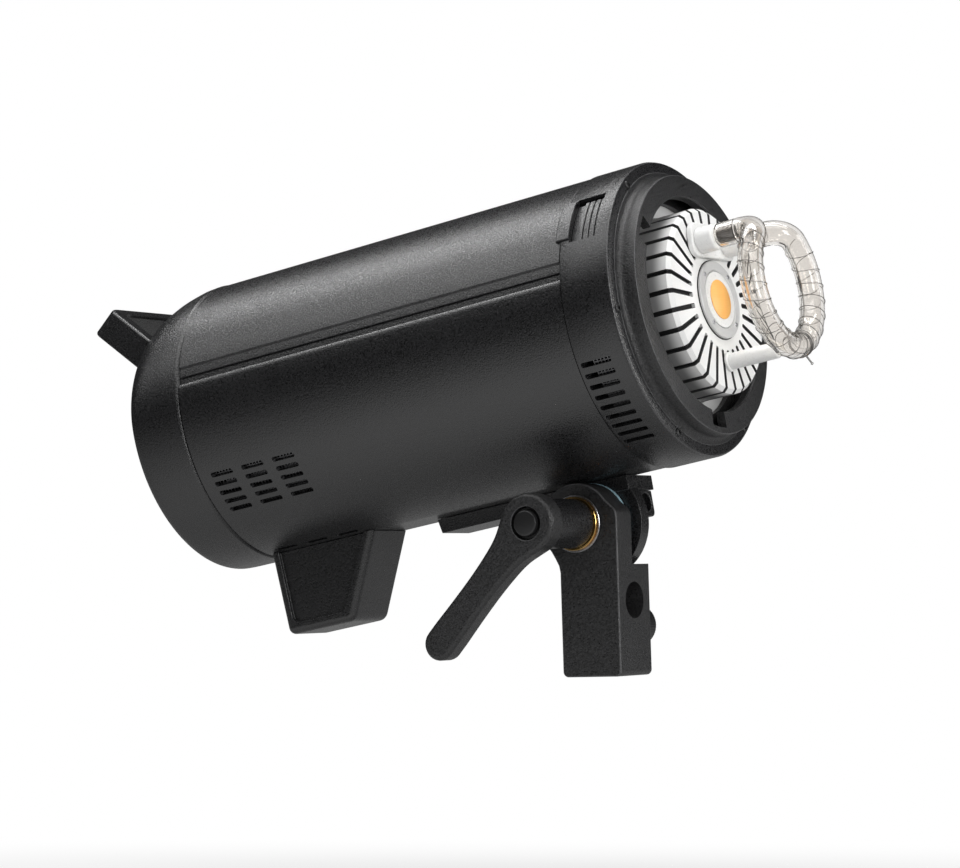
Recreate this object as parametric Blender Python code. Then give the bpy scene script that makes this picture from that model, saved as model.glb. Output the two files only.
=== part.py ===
"""Monolight strobe: a studio flash head on a tilting stand bracket.

Lengths are millimetres here and are written to the meshes in metres.
+X is where the light leaves, +Y is the light's left, +Z is up, and the
origin is on the stand axis at the underside of the bracket.
Head pieces are drawn about the head's own axis, with x = 0 at the tilt pivot.
"""
import math

import bpy
import bmesh
from mathutils import Euler, Matrix, Vector

# Driving dimensions
MM = 0.001
FIT = 0.3
PIVOT_X = -5.7
PIVOT_Z = 66.8
TILT = 9.35

# Head stations along its axis, measured from the pivot
RING_FACE = 73.0
FLANGE_FACE = 64.6
COVER_SEAM = 40.6
CAP_SEAM = -162.6
REAR_FACE = -197.0
TURN_STEPS = 48
BODY_R = 65.2
WALL = 2.6
FLAT_Z = BODY_R - 1.3
AXIS_UP = FLAT_Z + 18.1
BODY_IN = BODY_R - WALL
LIP_R = BODY_IN - FIT
LIP_IN = LIP_R - 2.5
COVER_R = BODY_R + 0.5
CAP_R = BODY_R + 0.3
SEAM_LOW = 13.4
SEAM_MID = 16.1
SEAM_TOP = 20.0

# Front end
RING_R = BODY_R - 7.7
RING_IN = RING_R - 10.0
RING_ROOM = RING_R - 2.5
RING_TAIL = RING_R + 0.8
RING_BACK = FLANGE_FACE - 5.1
RING_FLOOR = RING_BACK + 2.5
RING_LIP = RING_FACE - 4.0
PIN_R = RING_R - 6.0
SLOT_ANGLES = (35.0, 155.0, 275.0)
SLOT_WIDE = 13.0
DRUM_R = RING_IN - 6.5
DRUM_FACE = RING_FACE + 7.0
DRUM_BACK = DRUM_FACE - 30.0
DRUM_SLOTS = 30
LED_R = 12.4
TUBE_R = 5.4
LOOP_R = 27.4
LOOP_X = DRUM_FACE + 31.5
LEG_ANGLE = 64.6
BEND = 9.0
WIRE_R = 0.25
WIRE_TURNS = 18
SLIDER_AT = 38.0
SLIDER_HALF = 10.5
SLIDER_BACK = 50.2
SLIDER_FRONT = 58.4
PIN_AT = 43.0
SLIDER_TRAVEL = 4.0

# Rear end
PANEL_R = 47.5
PANEL_BACK = REAR_FACE + 3.0
PANEL_FRONT = PANEL_BACK + 2.7
CONTROL_FRONT = PANEL_FRONT + 2.3
RIM_R = PANEL_R + 4.0
BUTTON_Y = (-31.0, -20.0, -9.0, 2.0)
BUTTON_Z = -4.0
BUTTON_R = 4.0
DIAL_AT = (18.0, -5.0)
DIAL_R = 10.0
SWITCH_AT = (-16.0, -28.0)
SWITCH_SIZE = (11.0, 17.0)
INLET_AT = (8.0, -29.0)
INLET_SIZE = (27.0, 19.5)
JACK_AT = (35.0, -12.0)
DISPLAY_AT = (0.0, 18.0)
DISPLAY_SIZE = (44.0, 22.0)
HANDLE_AT = (REAR_FACE + 0.3, CAP_R - 26.7)
HANDLE_LEAN = 40.0
HANDLE_BAND = 14.5
HANDLE_SLANT = 0.24
GRIP_HALF = 14.9
GRIP_Z = -BODY_R - 36.8
GRIP_TOP = -BODY_R + 10.2

# Bracket and clamp
BLOCK_X = 14.5
BLOCK_Y = 14.0
STEP_Z = 48.6
HEAD_R = 17.6
CHEEK = -1.0
EAR_Y = (1.3, 8.5)
EAR_R = 24.0
BOLT_R = 5.0
PAD_R = 19.2
STAND_BORE = 8.25
SIDE_BORE = 8.0
SIDE_BORE_Z = 32.9
KNOB_Z = 21.6
LEVER_Y = (-57.0, -46.0)
SLEEVE_R = 10.8
LEVER_END = (-46.0, -50.5)
PLATE_FRONT = 20.5
UMBRELLA_AT = (17.5, 6.0 - AXIS_UP)
UMBRELLA_R = 4.1

BLACK = ((0.017, 0.017, 0.019), 0.0, 0.5)
DARK = ((0.03, 0.03, 0.032), 0.0, 0.4)
WHITE = ((0.85, 0.85, 0.83), 0.0, 0.35)
STEEL = ((0.6, 0.6, 0.62), 1.0, 0.25)


for old in list(bpy.data.objects):
    bpy.data.objects.remove(old, do_unlink=True)


def polar(radius, angle):
    """Point across the head: angles run from the right side (-Y) upwards."""
    turn = math.radians(angle)
    return (-radius * math.cos(turn), radius * math.sin(turn))


def arc(radius, start, end, steps):
    return [polar(radius, start + (end - start) * i / steps) for i in range(steps + 1)]


def circle(centre, radius, steps):
    turns = [2 * math.pi * i / steps for i in range(steps)]
    return [(centre[0] + radius * math.cos(t), centre[1] + radius * math.sin(t)) for t in turns]


def rounded(corners, radius, steps=4):
    """Round every corner of a plane outline."""
    out = []
    count = len(corners)
    for i in range(count):
        here = Vector(corners[i])
        back = (Vector(corners[i - 1]) - here).normalized()
        ahead = (Vector(corners[(i + 1) % count]) - here).normalized()
        half = back.angle(ahead) / 2
        reach = radius / math.tan(half)
        middle = here + (back + ahead).normalized() * (radius / math.sin(half))
        first = here + back * reach - middle
        last = here + ahead * reach - middle
        for k in range(steps + 1):
            mix = first.lerp(last, k / steps).normalized() * radius
            out.append(tuple(middle + mix))
    return out


def place(axis, u, v, w):
    """Plane point (u, v) at height w along the named axis."""
    if axis == 'X':
        return (w, u, v)
    if axis == 'Y':
        return (u, w, v)
    return (u, v, w)


def prism(outline, low, high, axis):
    count = len(outline)
    points = [place(axis, u, v, low) for u, v in outline]
    points += [place(axis, u, v, high) for u, v in outline]
    faces = [tuple(range(count)), tuple(range(2 * count - 1, count - 1, -1))]
    for i in range(count):
        j = (i + 1) % count
        faces.append((i, j, count + j, count + i))
    return points, faces


def lathe(profile, steps, axis='X', centre=(0.0, 0.0)):
    """Turn a closed (along, radius) outline; points with radius 0 are poles."""
    points = []
    rows = []
    for along, radius in profile:
        if radius < 1e-6:
            points.append(place(axis, centre[0], centre[1], along))
            rows.append([len(points) - 1] * steps)
            continue
        row = []
        for u, v in circle(centre, radius, steps):
            points.append(place(axis, u, v, along))
            row.append(len(points) - 1)
        rows.append(row)
    faces = []
    for k in range(len(rows)):
        low, high = rows[k], rows[(k + 1) % len(rows)]
        for i in range(steps):
            j = (i + 1) % steps
            loop = []
            for spot in (low[i], low[j], high[j], high[i]):
                if spot not in loop:
                    loop.append(spot)
            if len(loop) > 2:
                faces.append(tuple(loop))
    return points, faces


def sector(profile, start, end, steps):
    """Turn an (along, radius) outline part of the way round the head."""
    points = []
    size = len(profile)
    for i in range(steps + 1):
        angle = start + (end - start) * i / steps
        for along, radius in profile:
            points.append((along,) + polar(radius, angle))
    faces = [tuple(range(size)), tuple(range((steps + 1) * size - 1, steps * size - 1, -1))]
    for i in range(steps):
        for k in range(size):
            m = (k + 1) % size
            a, b = i * size, (i + 1) * size
            faces.append((a + k, a + m, b + m, b + k))
    return points, faces


def sweep(path, radius, sides):
    """Round bar along a path, carried without twist."""
    path = [Vector(p) for p in path]
    normal = Vector((0.0, 0.37, 0.93))
    points = []
    for i, here in enumerate(path):
        ahead = path[min(i + 1, len(path) - 1)] - path[max(i - 1, 0)]
        ahead.normalize()
        normal = (normal - ahead * normal.dot(ahead)).normalized()
        across = ahead.cross(normal)
        for k in range(sides):
            turn = 2 * math.pi * k / sides
            points.append(here + normal * (radius * math.cos(turn)) + across * (radius * math.sin(turn)))
    last = (len(path) - 1) * sides
    faces = [tuple(range(sides)), tuple(range(last + sides - 1, last - 1, -1))]
    for i in range(len(path) - 1):
        for k in range(sides):
            m = (k + 1) % sides
            a, b = i * sides, (i + 1) * sides
            faces.append((a + k, a + m, b + m, b + k))
    return points, faces


def brick(centre, size, turn=0.0):
    """Box turned about the X axis, angles as in polar()."""
    spin = Matrix.Rotation(math.radians(-turn), 3, 'X')
    points = []
    for dx in (-0.5, 0.5):
        for dy in (-0.5, 0.5):
            for dz in (-0.5, 0.5):
                offset = spin @ Vector((dx * size[0], dy * size[1], dz * size[2]))
                points.append(Vector(centre) + offset)
    faces = [(0, 1, 3, 2), (4, 6, 7, 5), (0, 4, 5, 1), (2, 3, 7, 6), (0, 2, 6, 4), (1, 5, 7, 3)]
    return points, faces


def merge(shapes):
    points = []
    faces = []
    for more, sides in shapes:
        start = len(points)
        points += more
        faces += [tuple(start + i for i in side) for side in sides]
    return points, faces


def body(name, shape):
    """Mesh object, facing outward, from a millimetre shape."""
    points, faces = shape
    mesh = bpy.data.meshes.new(name)
    mesh.from_pydata([Vector(p) * MM for p in points], [], faces)
    work = bmesh.new()
    work.from_mesh(mesh)
    bmesh.ops.recalc_face_normals(work, faces=work.faces[:])
    work.to_mesh(mesh)
    work.free()
    item = bpy.data.objects.new(name, mesh)
    bpy.context.scene.collection.objects.link(item)
    return item


def settle(item):
    """Apply the object's modifiers to its mesh."""
    bpy.context.view_layer.update()
    graph = bpy.context.evaluated_depsgraph_get()
    mesh = bpy.data.meshes.new_from_object(item.evaluated_get(graph))
    item.modifiers.clear()
    item.data = mesh


def bevel(item, width, segments=2, angle=40.0):
    mod = item.modifiers.new('edge', 'BEVEL')
    mod.width = width * MM
    mod.segments = segments
    mod.limit_method = 'ANGLE'
    mod.angle_limit = math.radians(angle)
    mod.use_clamp_overlap = True
    settle(item)


def combine(item, shapes, operation):
    tools = [body('tool', shape) for shape in shapes]
    for tool in tools:
        mod = item.modifiers.new('cut', 'BOOLEAN')
        mod.operation = operation
        mod.solver = 'EXACT'
        mod.object = tool
        tool.hide_render = True
        tool.display_type = 'WIRE'
    settle(item)
    for tool in tools:
        bpy.data.objects.remove(tool, do_unlink=True)


def cut(item, *shapes):
    combine(item, shapes, 'DIFFERENCE')


def weld(item, *shapes):
    combine(item, shapes, 'UNION')


def finish(item, look, parent=None):
    colour, metal, rough = look
    material = bpy.data.materials.new(item.name + '_finish')
    material.use_nodes = True
    shader = material.node_tree.nodes['Principled BSDF']
    shader.inputs['Base Color'].default_value = (*colour, 1.0)
    shader.inputs['Metallic'].default_value = metal
    shader.inputs['Roughness'].default_value = rough
    item.data.materials.clear()
    item.data.materials.append(material)
    if parent is not None:
        item.parent = parent
        item.location = (0.0, 0.0, AXIS_UP * MM) if parent == head else (0.0, 0.0, 0.0)
    return item


def empty(name, location, tilt=0.0):
    item = bpy.data.objects.new(name, None)
    item.location = Vector(location) * MM
    item.rotation_euler = Euler((0.0, math.radians(tilt), 0.0))
    bpy.context.scene.collection.objects.link(item)
    return item


head = empty('head_axis', (PIVOT_X, 0.0, PIVOT_Z), -TILT)
clamp = empty('clamp_axis', (PIVOT_X, 0.0, PIVOT_Z))


def flat(points, depth):
    return [(y, max(z, -depth)) for y, z in points]


# Body shells: the lower one carries a lip that the upper ledge covers
shell_back = CAP_SEAM + FIT
shell_front = COVER_SEAM - FIT
outline = arc(BODY_R, SEAM_TOP, 180 - SEAM_TOP, 32)
outline += arc(BODY_R - 0.9, 180 - SEAM_TOP, 180 - SEAM_MID, 2)
outline += arc(BODY_R - 1.6, 180 - SEAM_MID, 180 - SEAM_TOP, 2)
outline += arc(BODY_IN, 180 - SEAM_TOP, SEAM_TOP, 24)
outline += arc(BODY_R - 1.6, SEAM_TOP, SEAM_MID, 2)
outline += arc(BODY_R - 0.9, SEAM_MID, SEAM_TOP, 2)
finish(body('upper_shell', prism(outline, shell_back, shell_front, 'X')), BLACK, head)

lip_end = SEAM_TOP - 0.5
outline = flat(arc(BODY_R, SEAM_LOW, -180 - SEAM_LOW, 60), FLAT_Z)
outline += arc(BODY_R - 1.9, -180 - SEAM_LOW, -180 - lip_end, 2)
outline += arc(BODY_IN, -180 - lip_end, -180 - SEAM_LOW, 2)
outline += arc(BODY_IN, -180 - SEAM_LOW + 3.4, SEAM_LOW - 3.4, 60)
outline += arc(BODY_IN, SEAM_LOW, lip_end, 2)
outline += arc(BODY_R - 1.9, lip_end, SEAM_LOW, 2)
lower_shell = body('lower_shell', prism(outline, shell_back, shell_front, 'X'))
slots = []
for side in (1, -1):
    for x in (-150.0, -133.0, -116.0):
        for angle in (-25.9, -30.05, -34.2, -38.35, -42.5, -76.0):
            y, z = polar(BODY_R - 1.0, angle)
            slots.append(brick((x, side * y, z), (12.0, 8.0, 2.3), side * angle))
cut(lower_shell, merge(slots))
finish(lower_shell, BLACK, head)

# Rear cap, open at the back for the control panel
cap_outer = [(CAP_SEAM, CAP_R)]
for ahead, share in ((9.0, 0.995), (6.6, 0.95), (5.0, 0.82), (2.5, 0.43), (0.0, 0.0)):
    cap_outer.append((REAR_FACE + ahead, RIM_R + share * (CAP_R - RIM_R)))
ledge = PANEL_FRONT + FIT
cap_inner = [(REAR_FACE, PANEL_R + FIT), (ledge, PANEL_R + FIT), (ledge, PANEL_R - 2.5)]
cap_inner += [(ledge + 3.0, PANEL_R - 2.5), (ledge + 3.0, (RIM_R + CAP_R) / 2 - 1.8)]
cap_inner += [(REAR_FACE + 15.0, BODY_R - 2.4), (CAP_SEAM - 6.0, BODY_R - 2.4)]
cap_inner += [(CAP_SEAM - 6.0, LIP_IN), (CAP_SEAM + 5.0, LIP_IN), (CAP_SEAM + 5.0, LIP_R), (CAP_SEAM, LIP_R)]
finish(body('rear_cap', lathe(cap_outer + cap_inner, TURN_STEPS)), BLACK, head)

# Control panel and what sits in it
plate = [(PANEL_BACK, 0), (PANEL_BACK, PANEL_R), (PANEL_FRONT, PANEL_R), (PANEL_FRONT, 0)]
panel = body('rear_panel', lathe(plate, 48))


def square(centre, size, grow=0.0):
    u, v = size[0] / 2 + grow, size[1] / 2 + grow
    corners = [(centre[0] - u, centre[1] - v), (centre[0] + u, centre[1] - v)]
    corners += [(centre[0] + u, centre[1] + v), (centre[0] - u, centre[1] + v)]
    return rounded(corners, 1.5, 2)


behind = PANEL_BACK - 3.0
before = PANEL_FRONT + 3.0
holes = [prism(circle((y, BUTTON_Z), BUTTON_R + FIT, 16), behind, before, 'X') for y in BUTTON_Y]
holes.append(prism(circle(DIAL_AT, 3.0 + FIT, 16), behind, before, 'X'))
holes.append(prism(circle(JACK_AT, 3.6 + FIT, 16), behind, before, 'X'))
holes.append(prism(square(SWITCH_AT, SWITCH_SIZE, FIT), behind, before, 'X'))
holes.append(prism(square(INLET_AT, INLET_SIZE, FIT), behind, before, 'X'))
holes.append(prism(square(DISPLAY_AT, DISPLAY_SIZE, FIT), behind, before, 'X'))
cut(panel, merge(holes))
finish(panel, DARK, head)

display = body('display_window', prism(square(DISPLAY_AT, DISPLAY_SIZE), PANEL_BACK + 0.5, PANEL_FRONT, 'X'))
finish(display, ((0.01, 0.012, 0.016), 0.0, 0.08), head)

dial_out = PANEL_BACK - 0.5
dial_end = PANEL_BACK - 12.0
dial = [(CONTROL_FRONT, 0), (CONTROL_FRONT, 3.0), (dial_out, 3.0), (dial_out, DIAL_R)]
dial += [(dial_end + 1.0, DIAL_R - 0.8), (dial_end, DIAL_R - 1.8), (dial_end, 0)]
finish(body('control_dial', lathe(dial, 32, 'X', DIAL_AT)), DARK, head)

for number, y in enumerate(BUTTON_Y):
    top = PANEL_BACK - 1.9
    shape = [(CONTROL_FRONT, 0), (CONTROL_FRONT, BUTTON_R), (top + 0.5, BUTTON_R), (top, BUTTON_R - 0.6), (top, 0)]
    button = body('button_%d' % (number + 1), lathe(shape, 20, 'X', (y, BUTTON_Z)))
    finish(button, ((0.08, 0.08, 0.085), 0.0, 0.45), head)

# Rocker: its face is a shallow vee about the hinge line
u, v = SWITCH_SIZE[0] / 2, SWITCH_SIZE[1] / 2 - 0.4
rocker = [(4.0, -v), (-1.6, -v), (-0.4, 0.0), (0.6, v), (4.0, v)]
rocker = [(PANEL_BACK + x, z + SWITCH_AT[1]) for x, z in rocker]
shape = prism(rocker, SWITCH_AT[0] - u + 0.4, SWITCH_AT[0] + u - 0.4, 'Y')
finish(body('power_switch', shape), DARK, head)

inlet = body('power_inlet', prism(square(INLET_AT, INLET_SIZE), PANEL_BACK - 0.6, PANEL_BACK + 22.0, 'X'))
cut(inlet, prism(square(INLET_AT, INLET_SIZE, -2.0), PANEL_BACK - 2.0, PANEL_BACK + 18.0, 'X'))
blades = []
for dy, dz in ((-7.0, -2.0), (0.0, 2.0), (7.0, -2.0)):
    blades.append(brick((PANEL_BACK + 13.0, INLET_AT[0] + dy, INLET_AT[1] + dz), (12.0, 2.0, 4.0)))
weld(inlet, merge(blades))
finish(inlet, DARK, head)

jack = [(CONTROL_FRONT, 1.9), (CONTROL_FRONT, 3.6), (PANEL_BACK - FIT, 3.6), (PANEL_BACK - FIT, 5.0)]
jack += [(PANEL_BACK - 2.0, 5.0), (PANEL_BACK - 2.0, 1.9)]
finish(body('sync_jack', lathe(jack, 20, 'X', JACK_AT)), STEEL, head)

# Carry handle: a flat band bent to a loop, trimmed to sit on the cap
lean = math.radians(HANDLE_LEAN)
along = Vector((-math.cos(lean), 0.0, math.sin(lean)))
square_to = Vector((math.sin(lean), 0.0, math.cos(lean)))
start = Vector((HANDLE_AT[0], 0.0, HANDLE_AT[1]))
outside = [(44.5, -14.0), (33.0, 33.5), (-33.0, 33.5), (-44.5, -14.0)]
inside = [(-37.0, -14.0), (-27.5, 26.5), (27.5, 26.5), (37.0, -14.0)]
loop = [outside[0]] + rounded(outside, 7.0)[5:15] + [outside[3], inside[0]]
loop += rounded(inside, 5.0)[5:15] + [inside[3]]
points, faces = prism(loop, -HANDLE_BAND / 2, HANDLE_BAND / 2, 'Z')
across = Vector((0.0, 1.0, 0.0))
points = [start + across * p[0] + along * (p[1] - HANDLE_SLANT * p[2]) + square_to * p[2] for p in points]
handle = body('carry_handle', (points, faces))
bevel(handle, 1.2, 2)
envelope = [(x - FIT, r + FIT) for x, r in cap_outer]
deep = CAP_SEAM + 12.0
cut(handle, lathe([(deep, 0), (deep, CAP_R + FIT)] + envelope[1:] + [(REAR_FACE - FIT, 0)], TURN_STEPS))
finish(handle, BLACK, head)

# Hand grip, trimmed to the lower shell, with a shallow recess in each side
grip_line = [(-161.6, GRIP_TOP), (-158.5, GRIP_Z), (-122.3, GRIP_Z), (-99.3, GRIP_TOP)]
grip = body('hand_grip', prism(grip_line, -GRIP_HALF, GRIP_HALF, 'Y'))
bevel(grip, 3.0, 3)
rim = GRIP_TOP - 3.0
recess = rounded([(-157.0, rim), (-154.6, GRIP_Z + 5.0), (-126.0, GRIP_Z + 5.0), (-106.0, rim)], 3.0)
skin = flat(circle((0.0, 0.0), BODY_R + FIT, 64), FLAT_Z + FIT)
cut(
    grip,
    prism(recess, -GRIP_HALF - 5.0, -GRIP_HALF + 1.3, 'Y'),
    prism(recess, GRIP_HALF - 1.3, GRIP_HALF + 5.0, 'Y'),
    prism(skin, -175.0, -90.0, 'X'),
)
finish(grip, BLACK, head)

# Front cover with vents on both sides and a window for the release slider
cover = [(COVER_SEAM, COVER_R), (FLANGE_FACE - 1.4, COVER_R), (FLANGE_FACE, COVER_R - 1.3)]
cover += [(FLANGE_FACE, RING_TAIL + FIT), (FLANGE_FACE - 2.8, RING_TAIL + FIT), (FLANGE_FACE - 2.8, COVER_R - 2.9)]
cover += [(COVER_SEAM + 5.4, COVER_R - 2.9), (COVER_SEAM + 5.4, LIP_IN), (COVER_SEAM - 5.0, LIP_IN)]
cover += [(COVER_SEAM - 5.0, LIP_R), (COVER_SEAM, LIP_R)]
front_cover = body('front_cover', lathe(cover, TURN_STEPS))
vents = []
for side in (1, -1):
    for number in range(9):
        angle = -20.7 - 4.55 * number
        y, z = polar(COVER_R - 1.0, angle)
        vents.append(brick((49.6, side * y, z), (14.6, 6.0, 2.3), side * angle))
window_back = SLIDER_BACK - SLIDER_TRAVEL - 0.6
under, over = COVER_R - 3.7, COVER_R + 3.3
window = [(window_back, under), (SLIDER_FRONT + 0.4, under), (SLIDER_FRONT + 0.4, over), (window_back, over)]
window_half = SLIDER_HALF + 0.5
cut(front_cover, merge(vents), sector(window, SLIDER_AT - window_half, SLIDER_AT + window_half, 8))
# The slider's end stop stands on the cover and reaches over the shell
reach = COVER_SEAM - 2.2
stop = [(reach, BODY_R + FIT), (reach, COVER_R + 1.0), (window_back, COVER_R + 1.0), (window_back, COVER_R - 1.5)]
stop += [(COVER_SEAM + 0.6, COVER_R - 1.5), (COVER_SEAM + 0.6, BODY_R + FIT)]
weld(front_cover, sector(stop, SLIDER_AT - SLIDER_HALF + 1.0, SLIDER_AT + SLIDER_HALF - 1.0, 8))
finish(front_cover, BLACK, head)

# Bayonet mount ring: a channel whose front lip has three entry slots
root = FLANGE_FACE + FIT
ring = [(RING_FACE, RING_IN), (RING_FACE, RING_R - 0.7), (RING_FACE - 0.7, RING_R), (root + 2.7, RING_R)]
ring += [(root + 1.3, RING_R + 0.6), (root + 0.4, RING_R + 1.7), (root, RING_R + 3.0), (root, RING_TAIL)]
ring += [(RING_BACK, RING_TAIL), (RING_BACK, RING_IN), (RING_FLOOR, RING_IN), (RING_FLOOR, RING_ROOM)]
ring += [(RING_LIP, RING_ROOM), (RING_LIP, RING_IN)]
mount_ring = body('mount_ring', lathe(ring, TURN_STEPS))
entry = [(RING_LIP - 2.0, RING_IN - 4.0), (RING_FACE + 2.0, RING_IN - 4.0)]
entry += [(RING_FACE + 2.0, RING_ROOM - 0.4), (RING_LIP - 2.0, RING_ROOM - 0.4)]
pin_at = polar(PIN_R, PIN_AT)
cut(
    mount_ring,
    *[sector(entry, angle - SLOT_WIDE / 2, angle + SLOT_WIDE / 2, 4) for angle in SLOT_ANGLES],
    prism(circle(pin_at, 2.0 + FIT, 16), RING_BACK - 1.5, RING_FLOOR + 2.0, 'X'),
)
finish(mount_ring, BLACK, head)

low, high = RING_BACK - FIT - 2.2, RING_BACK - FIT
dish = [(low, DRUM_R + 0.5), (low, RING_TAIL - 0.5), (high, RING_TAIL - 0.5), (high, DRUM_R + 0.5)]
front_dish = body('front_dish', lathe(dish, 48))
cut(front_dish, prism(circle(pin_at, 2.0 + FIT, 16), low - 2.0, high + 2.0, 'X'))
finish(front_dish, ((0.8, 0.8, 0.8), 1.0, 0.3), head)

# Release slider: ribs run round the head, the foot stays under the cover
foot = COVER_R - 5.7
rib = COVER_R - 0.9
slide = [(SLIDER_BACK, foot), (SLIDER_FRONT, foot), (SLIDER_FRONT, rib)]
for number in range(3):
    x = SLIDER_FRONT - 1.9 - number * 2.5
    slide += [(x, rib), (x - 0.2, rib - 0.9), (x - 0.7, rib - 0.9), (x - 0.9, rib)]
slide.append((SLIDER_BACK, rib))
slider = body('release_slider', sector(slide, SLIDER_AT - SLIDER_HALF, SLIDER_AT + SLIDER_HALF, 8))
finish(slider, DARK, head)

lock_pin = body('lock_pin', prism(circle(pin_at, 2.0, 16), SLIDER_BACK, RING_LIP - 2.5, 'X'))
y, z = polar(PIN_R + 4.0, PIN_AT)
weld(lock_pin, brick((SLIDER_BACK + 2.6, y, z), (4.4, 8.2, 5.2), PIN_AT))
finish(lock_pin, STEEL, head)

# Finned drum that carries the lamp and the flash tube
drum = [(DRUM_FACE, 0), (DRUM_FACE, DRUM_R - 2.4), (DRUM_FACE - 2.4, DRUM_R), (DRUM_BACK, DRUM_R)]
drum += [(DRUM_BACK, DRUM_R - 4.0), (DRUM_FACE - 6.0, DRUM_R - 4.0), (DRUM_FACE - 6.0, 0)]
heat_sink = body('heat_sink', lathe(drum, 60))
gaps = []
for number in range(DRUM_SLOTS):
    angle = 3.0 + 360.0 * number / DRUM_SLOTS
    y, z = polar(DRUM_R - 8.0, angle)
    gaps.append(brick((DRUM_FACE - 10.0, y, z), (26.0, 22.0, 2.1), angle))
cut(heat_sink, merge(gaps))
finish(heat_sink, WHITE, head)

seat = DRUM_FACE + FIT


def disc(name, low, high, inner, outer, look, steps=36):
    profile = [(low, inner), (low, outer), (high, outer), (high, inner)]
    return finish(body(name, lathe(profile, steps)), look, head)


disc('led_base', seat, seat + 1.2, 0, LED_R, WHITE)
disc('led_lamp', seat + 1.5, seat + 2.1, 0, 9.2, ((1.0, 0.62, 0.16), 0.0, 0.35))
disc('led_retainer', seat, seat + 2.4, LED_R + 0.4, 17.2, ((0.8, 0.8, 0.8), 0.0, 0.3), 48)

legs = [polar(LOOP_R, LEG_ANGLE), polar(LOOP_R, 180 - LEG_ANGLE)]
foot = rounded([(-20.0, 17.9), (20.0, 17.9), (18.0, 33.0), (-18.0, 33.0)], 5.0)
finish(body('tube_socket', prism(foot, seat, seat + 2.6, 'X')), WHITE, head)
sleeve_low = seat + 2.6 + FIT
cap_low = seat + 11.2
cap_high = LOOP_X - BEND - 1.2
for number, at in enumerate(legs):
    top = cap_low - FIT
    profile = [(sleeve_low, 0), (sleeve_low, 5.8), (top - 1.0, 5.8), (top, 4.8), (top, 0)]
    finish(body('tube_sleeve_%d' % (number + 1), lathe(profile, 20, 'X', at)), WHITE, head)
    profile = [(cap_low, 0), (cap_low, 4.9), (cap_low + 0.8, 5.7), (cap_high - 0.8, 5.7)]
    profile += [(cap_high, 4.9), (cap_high, 0)]
    finish(body('electrode_cap_%d' % (number + 1), lathe(profile, 24, 'X', at)), STEEL, head)

# Flash tube: one open ring whose ends turn back into two legs
glass_start = cap_high + FIT
path = [(glass_start, LEG_ANGLE)]
turn_in = []
for k in range(7):
    beta = math.radians(15.0 * k)
    angle = LEG_ANGLE - math.degrees(BEND * (1 - math.cos(beta)) / LOOP_R)
    turn_in.append((LOOP_X - BEND + BEND * math.sin(beta), angle))
path += turn_in
ring_from = turn_in[-1][1]
ring_to = -180.0 - ring_from
ring_steps = 30
path += [(LOOP_X, ring_from + (ring_to - ring_from) * k / ring_steps) for k in range(1, ring_steps)]
path += [(x, -180.0 - angle) for x, angle in reversed(turn_in)]
path.append((glass_start, -180.0 - LEG_ANGLE))
tube = body('flash_tube', sweep([(x,) + polar(LOOP_R, angle) for x, angle in path], TUBE_R, 12))
finish(tube, ((0.9, 0.9, 0.88), 0.0, 0.05), head)

post_tip = LOOP_X - TUBE_R - 2 * WIRE_R - 3 * FIT
profile = [(seat, 0), (seat, 3.6), (post_tip - 1.0, 3.6), (post_tip, 2.6), (post_tip, 0)]
finish(body('support_post', lathe(profile, 20, 'X', (0.0, -LOOP_R))), WHITE, head)

# Trigger wire, one unbroken winding round the ring part of the tube
wire = []
wire_steps = WIRE_TURNS * 10
wrap = TUBE_R + WIRE_R + 0.5
for k in range(wire_steps + 1):
    part = k / wire_steps
    angle = ring_from - 4.0 + (ring_to - ring_from + 8.0) * part
    phase = 2 * math.pi * WIRE_TURNS * part
    y, z = polar(LOOP_R + wrap * math.cos(phase), angle)
    wire.append(Vector((LOOP_X + wrap * math.sin(phase), y, z)))
least = min((wire[i] - wire[j]).length for i in range(len(wire)) for j in range(i + 6, len(wire)))
print('trigger wire least self-gap %.2f mm' % (least - 2 * WIRE_R))
finish(body('trigger_wire', sweep(wire, WIRE_R, 4)), STEEL, head)

# Tilt plate under the body, with its ear and two umbrella guides
plate_top = -FLAT_Z - FIT
plate_line = [(-76.0, plate_top), (-72.0, plate_top - 6.4), (PLATE_FRONT, plate_top - 6.4), (PLATE_FRONT, plate_top)]
plate = body('mounting_plate', prism(plate_line, EAR_Y[0], 24.0, 'Y'))
bevel(plate, 0.8, 1)
ear = [(x, z - AXIS_UP) for x, z in circle((0.0, 0.0), EAR_R, 48) if z < 13.0]
ear.sort(key=lambda p: math.atan2(p[0], -(p[1] + AXIS_UP)))
weld(plate, prism(ear, EAR_Y[0] + 0.4, EAR_Y[1], 'Y'))
cut(plate, prism(circle((0.0, -AXIS_UP), BOLT_R + FIT, 24), 0.0, 12.0, 'Y'))
finish(plate, BLACK, head)

under = plate_top - 6.4 - FIT
left, right = UMBRELLA_AT[0] - UMBRELLA_R - 1.8, UMBRELLA_AT[0] + UMBRELLA_R + 1.8
low = UMBRELLA_AT[1] - UMBRELLA_R - 2.4
guide = [(left, under), (left, low + 3.0), (left + 0.9, low + 0.9), (left + 3.0, low)]
guide += [(right - 3.0, low), (right - 0.9, low + 0.9), (right, low + 3.0), (right, under)]
for number, ends in enumerate(((PLATE_FRONT - 10.5, PLATE_FRONT - 1.0), (-24.0, -13.5))):
    item = body('umbrella_guide_%d' % (number + 1), prism(guide, ends[0], ends[1], 'X'))
    cut(item, prism(circle(UMBRELLA_AT, UMBRELLA_R, 20), ends[0] - 5.0, ends[1] + 5.0, 'X'))
    finish(item, BLACK, head)

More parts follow.
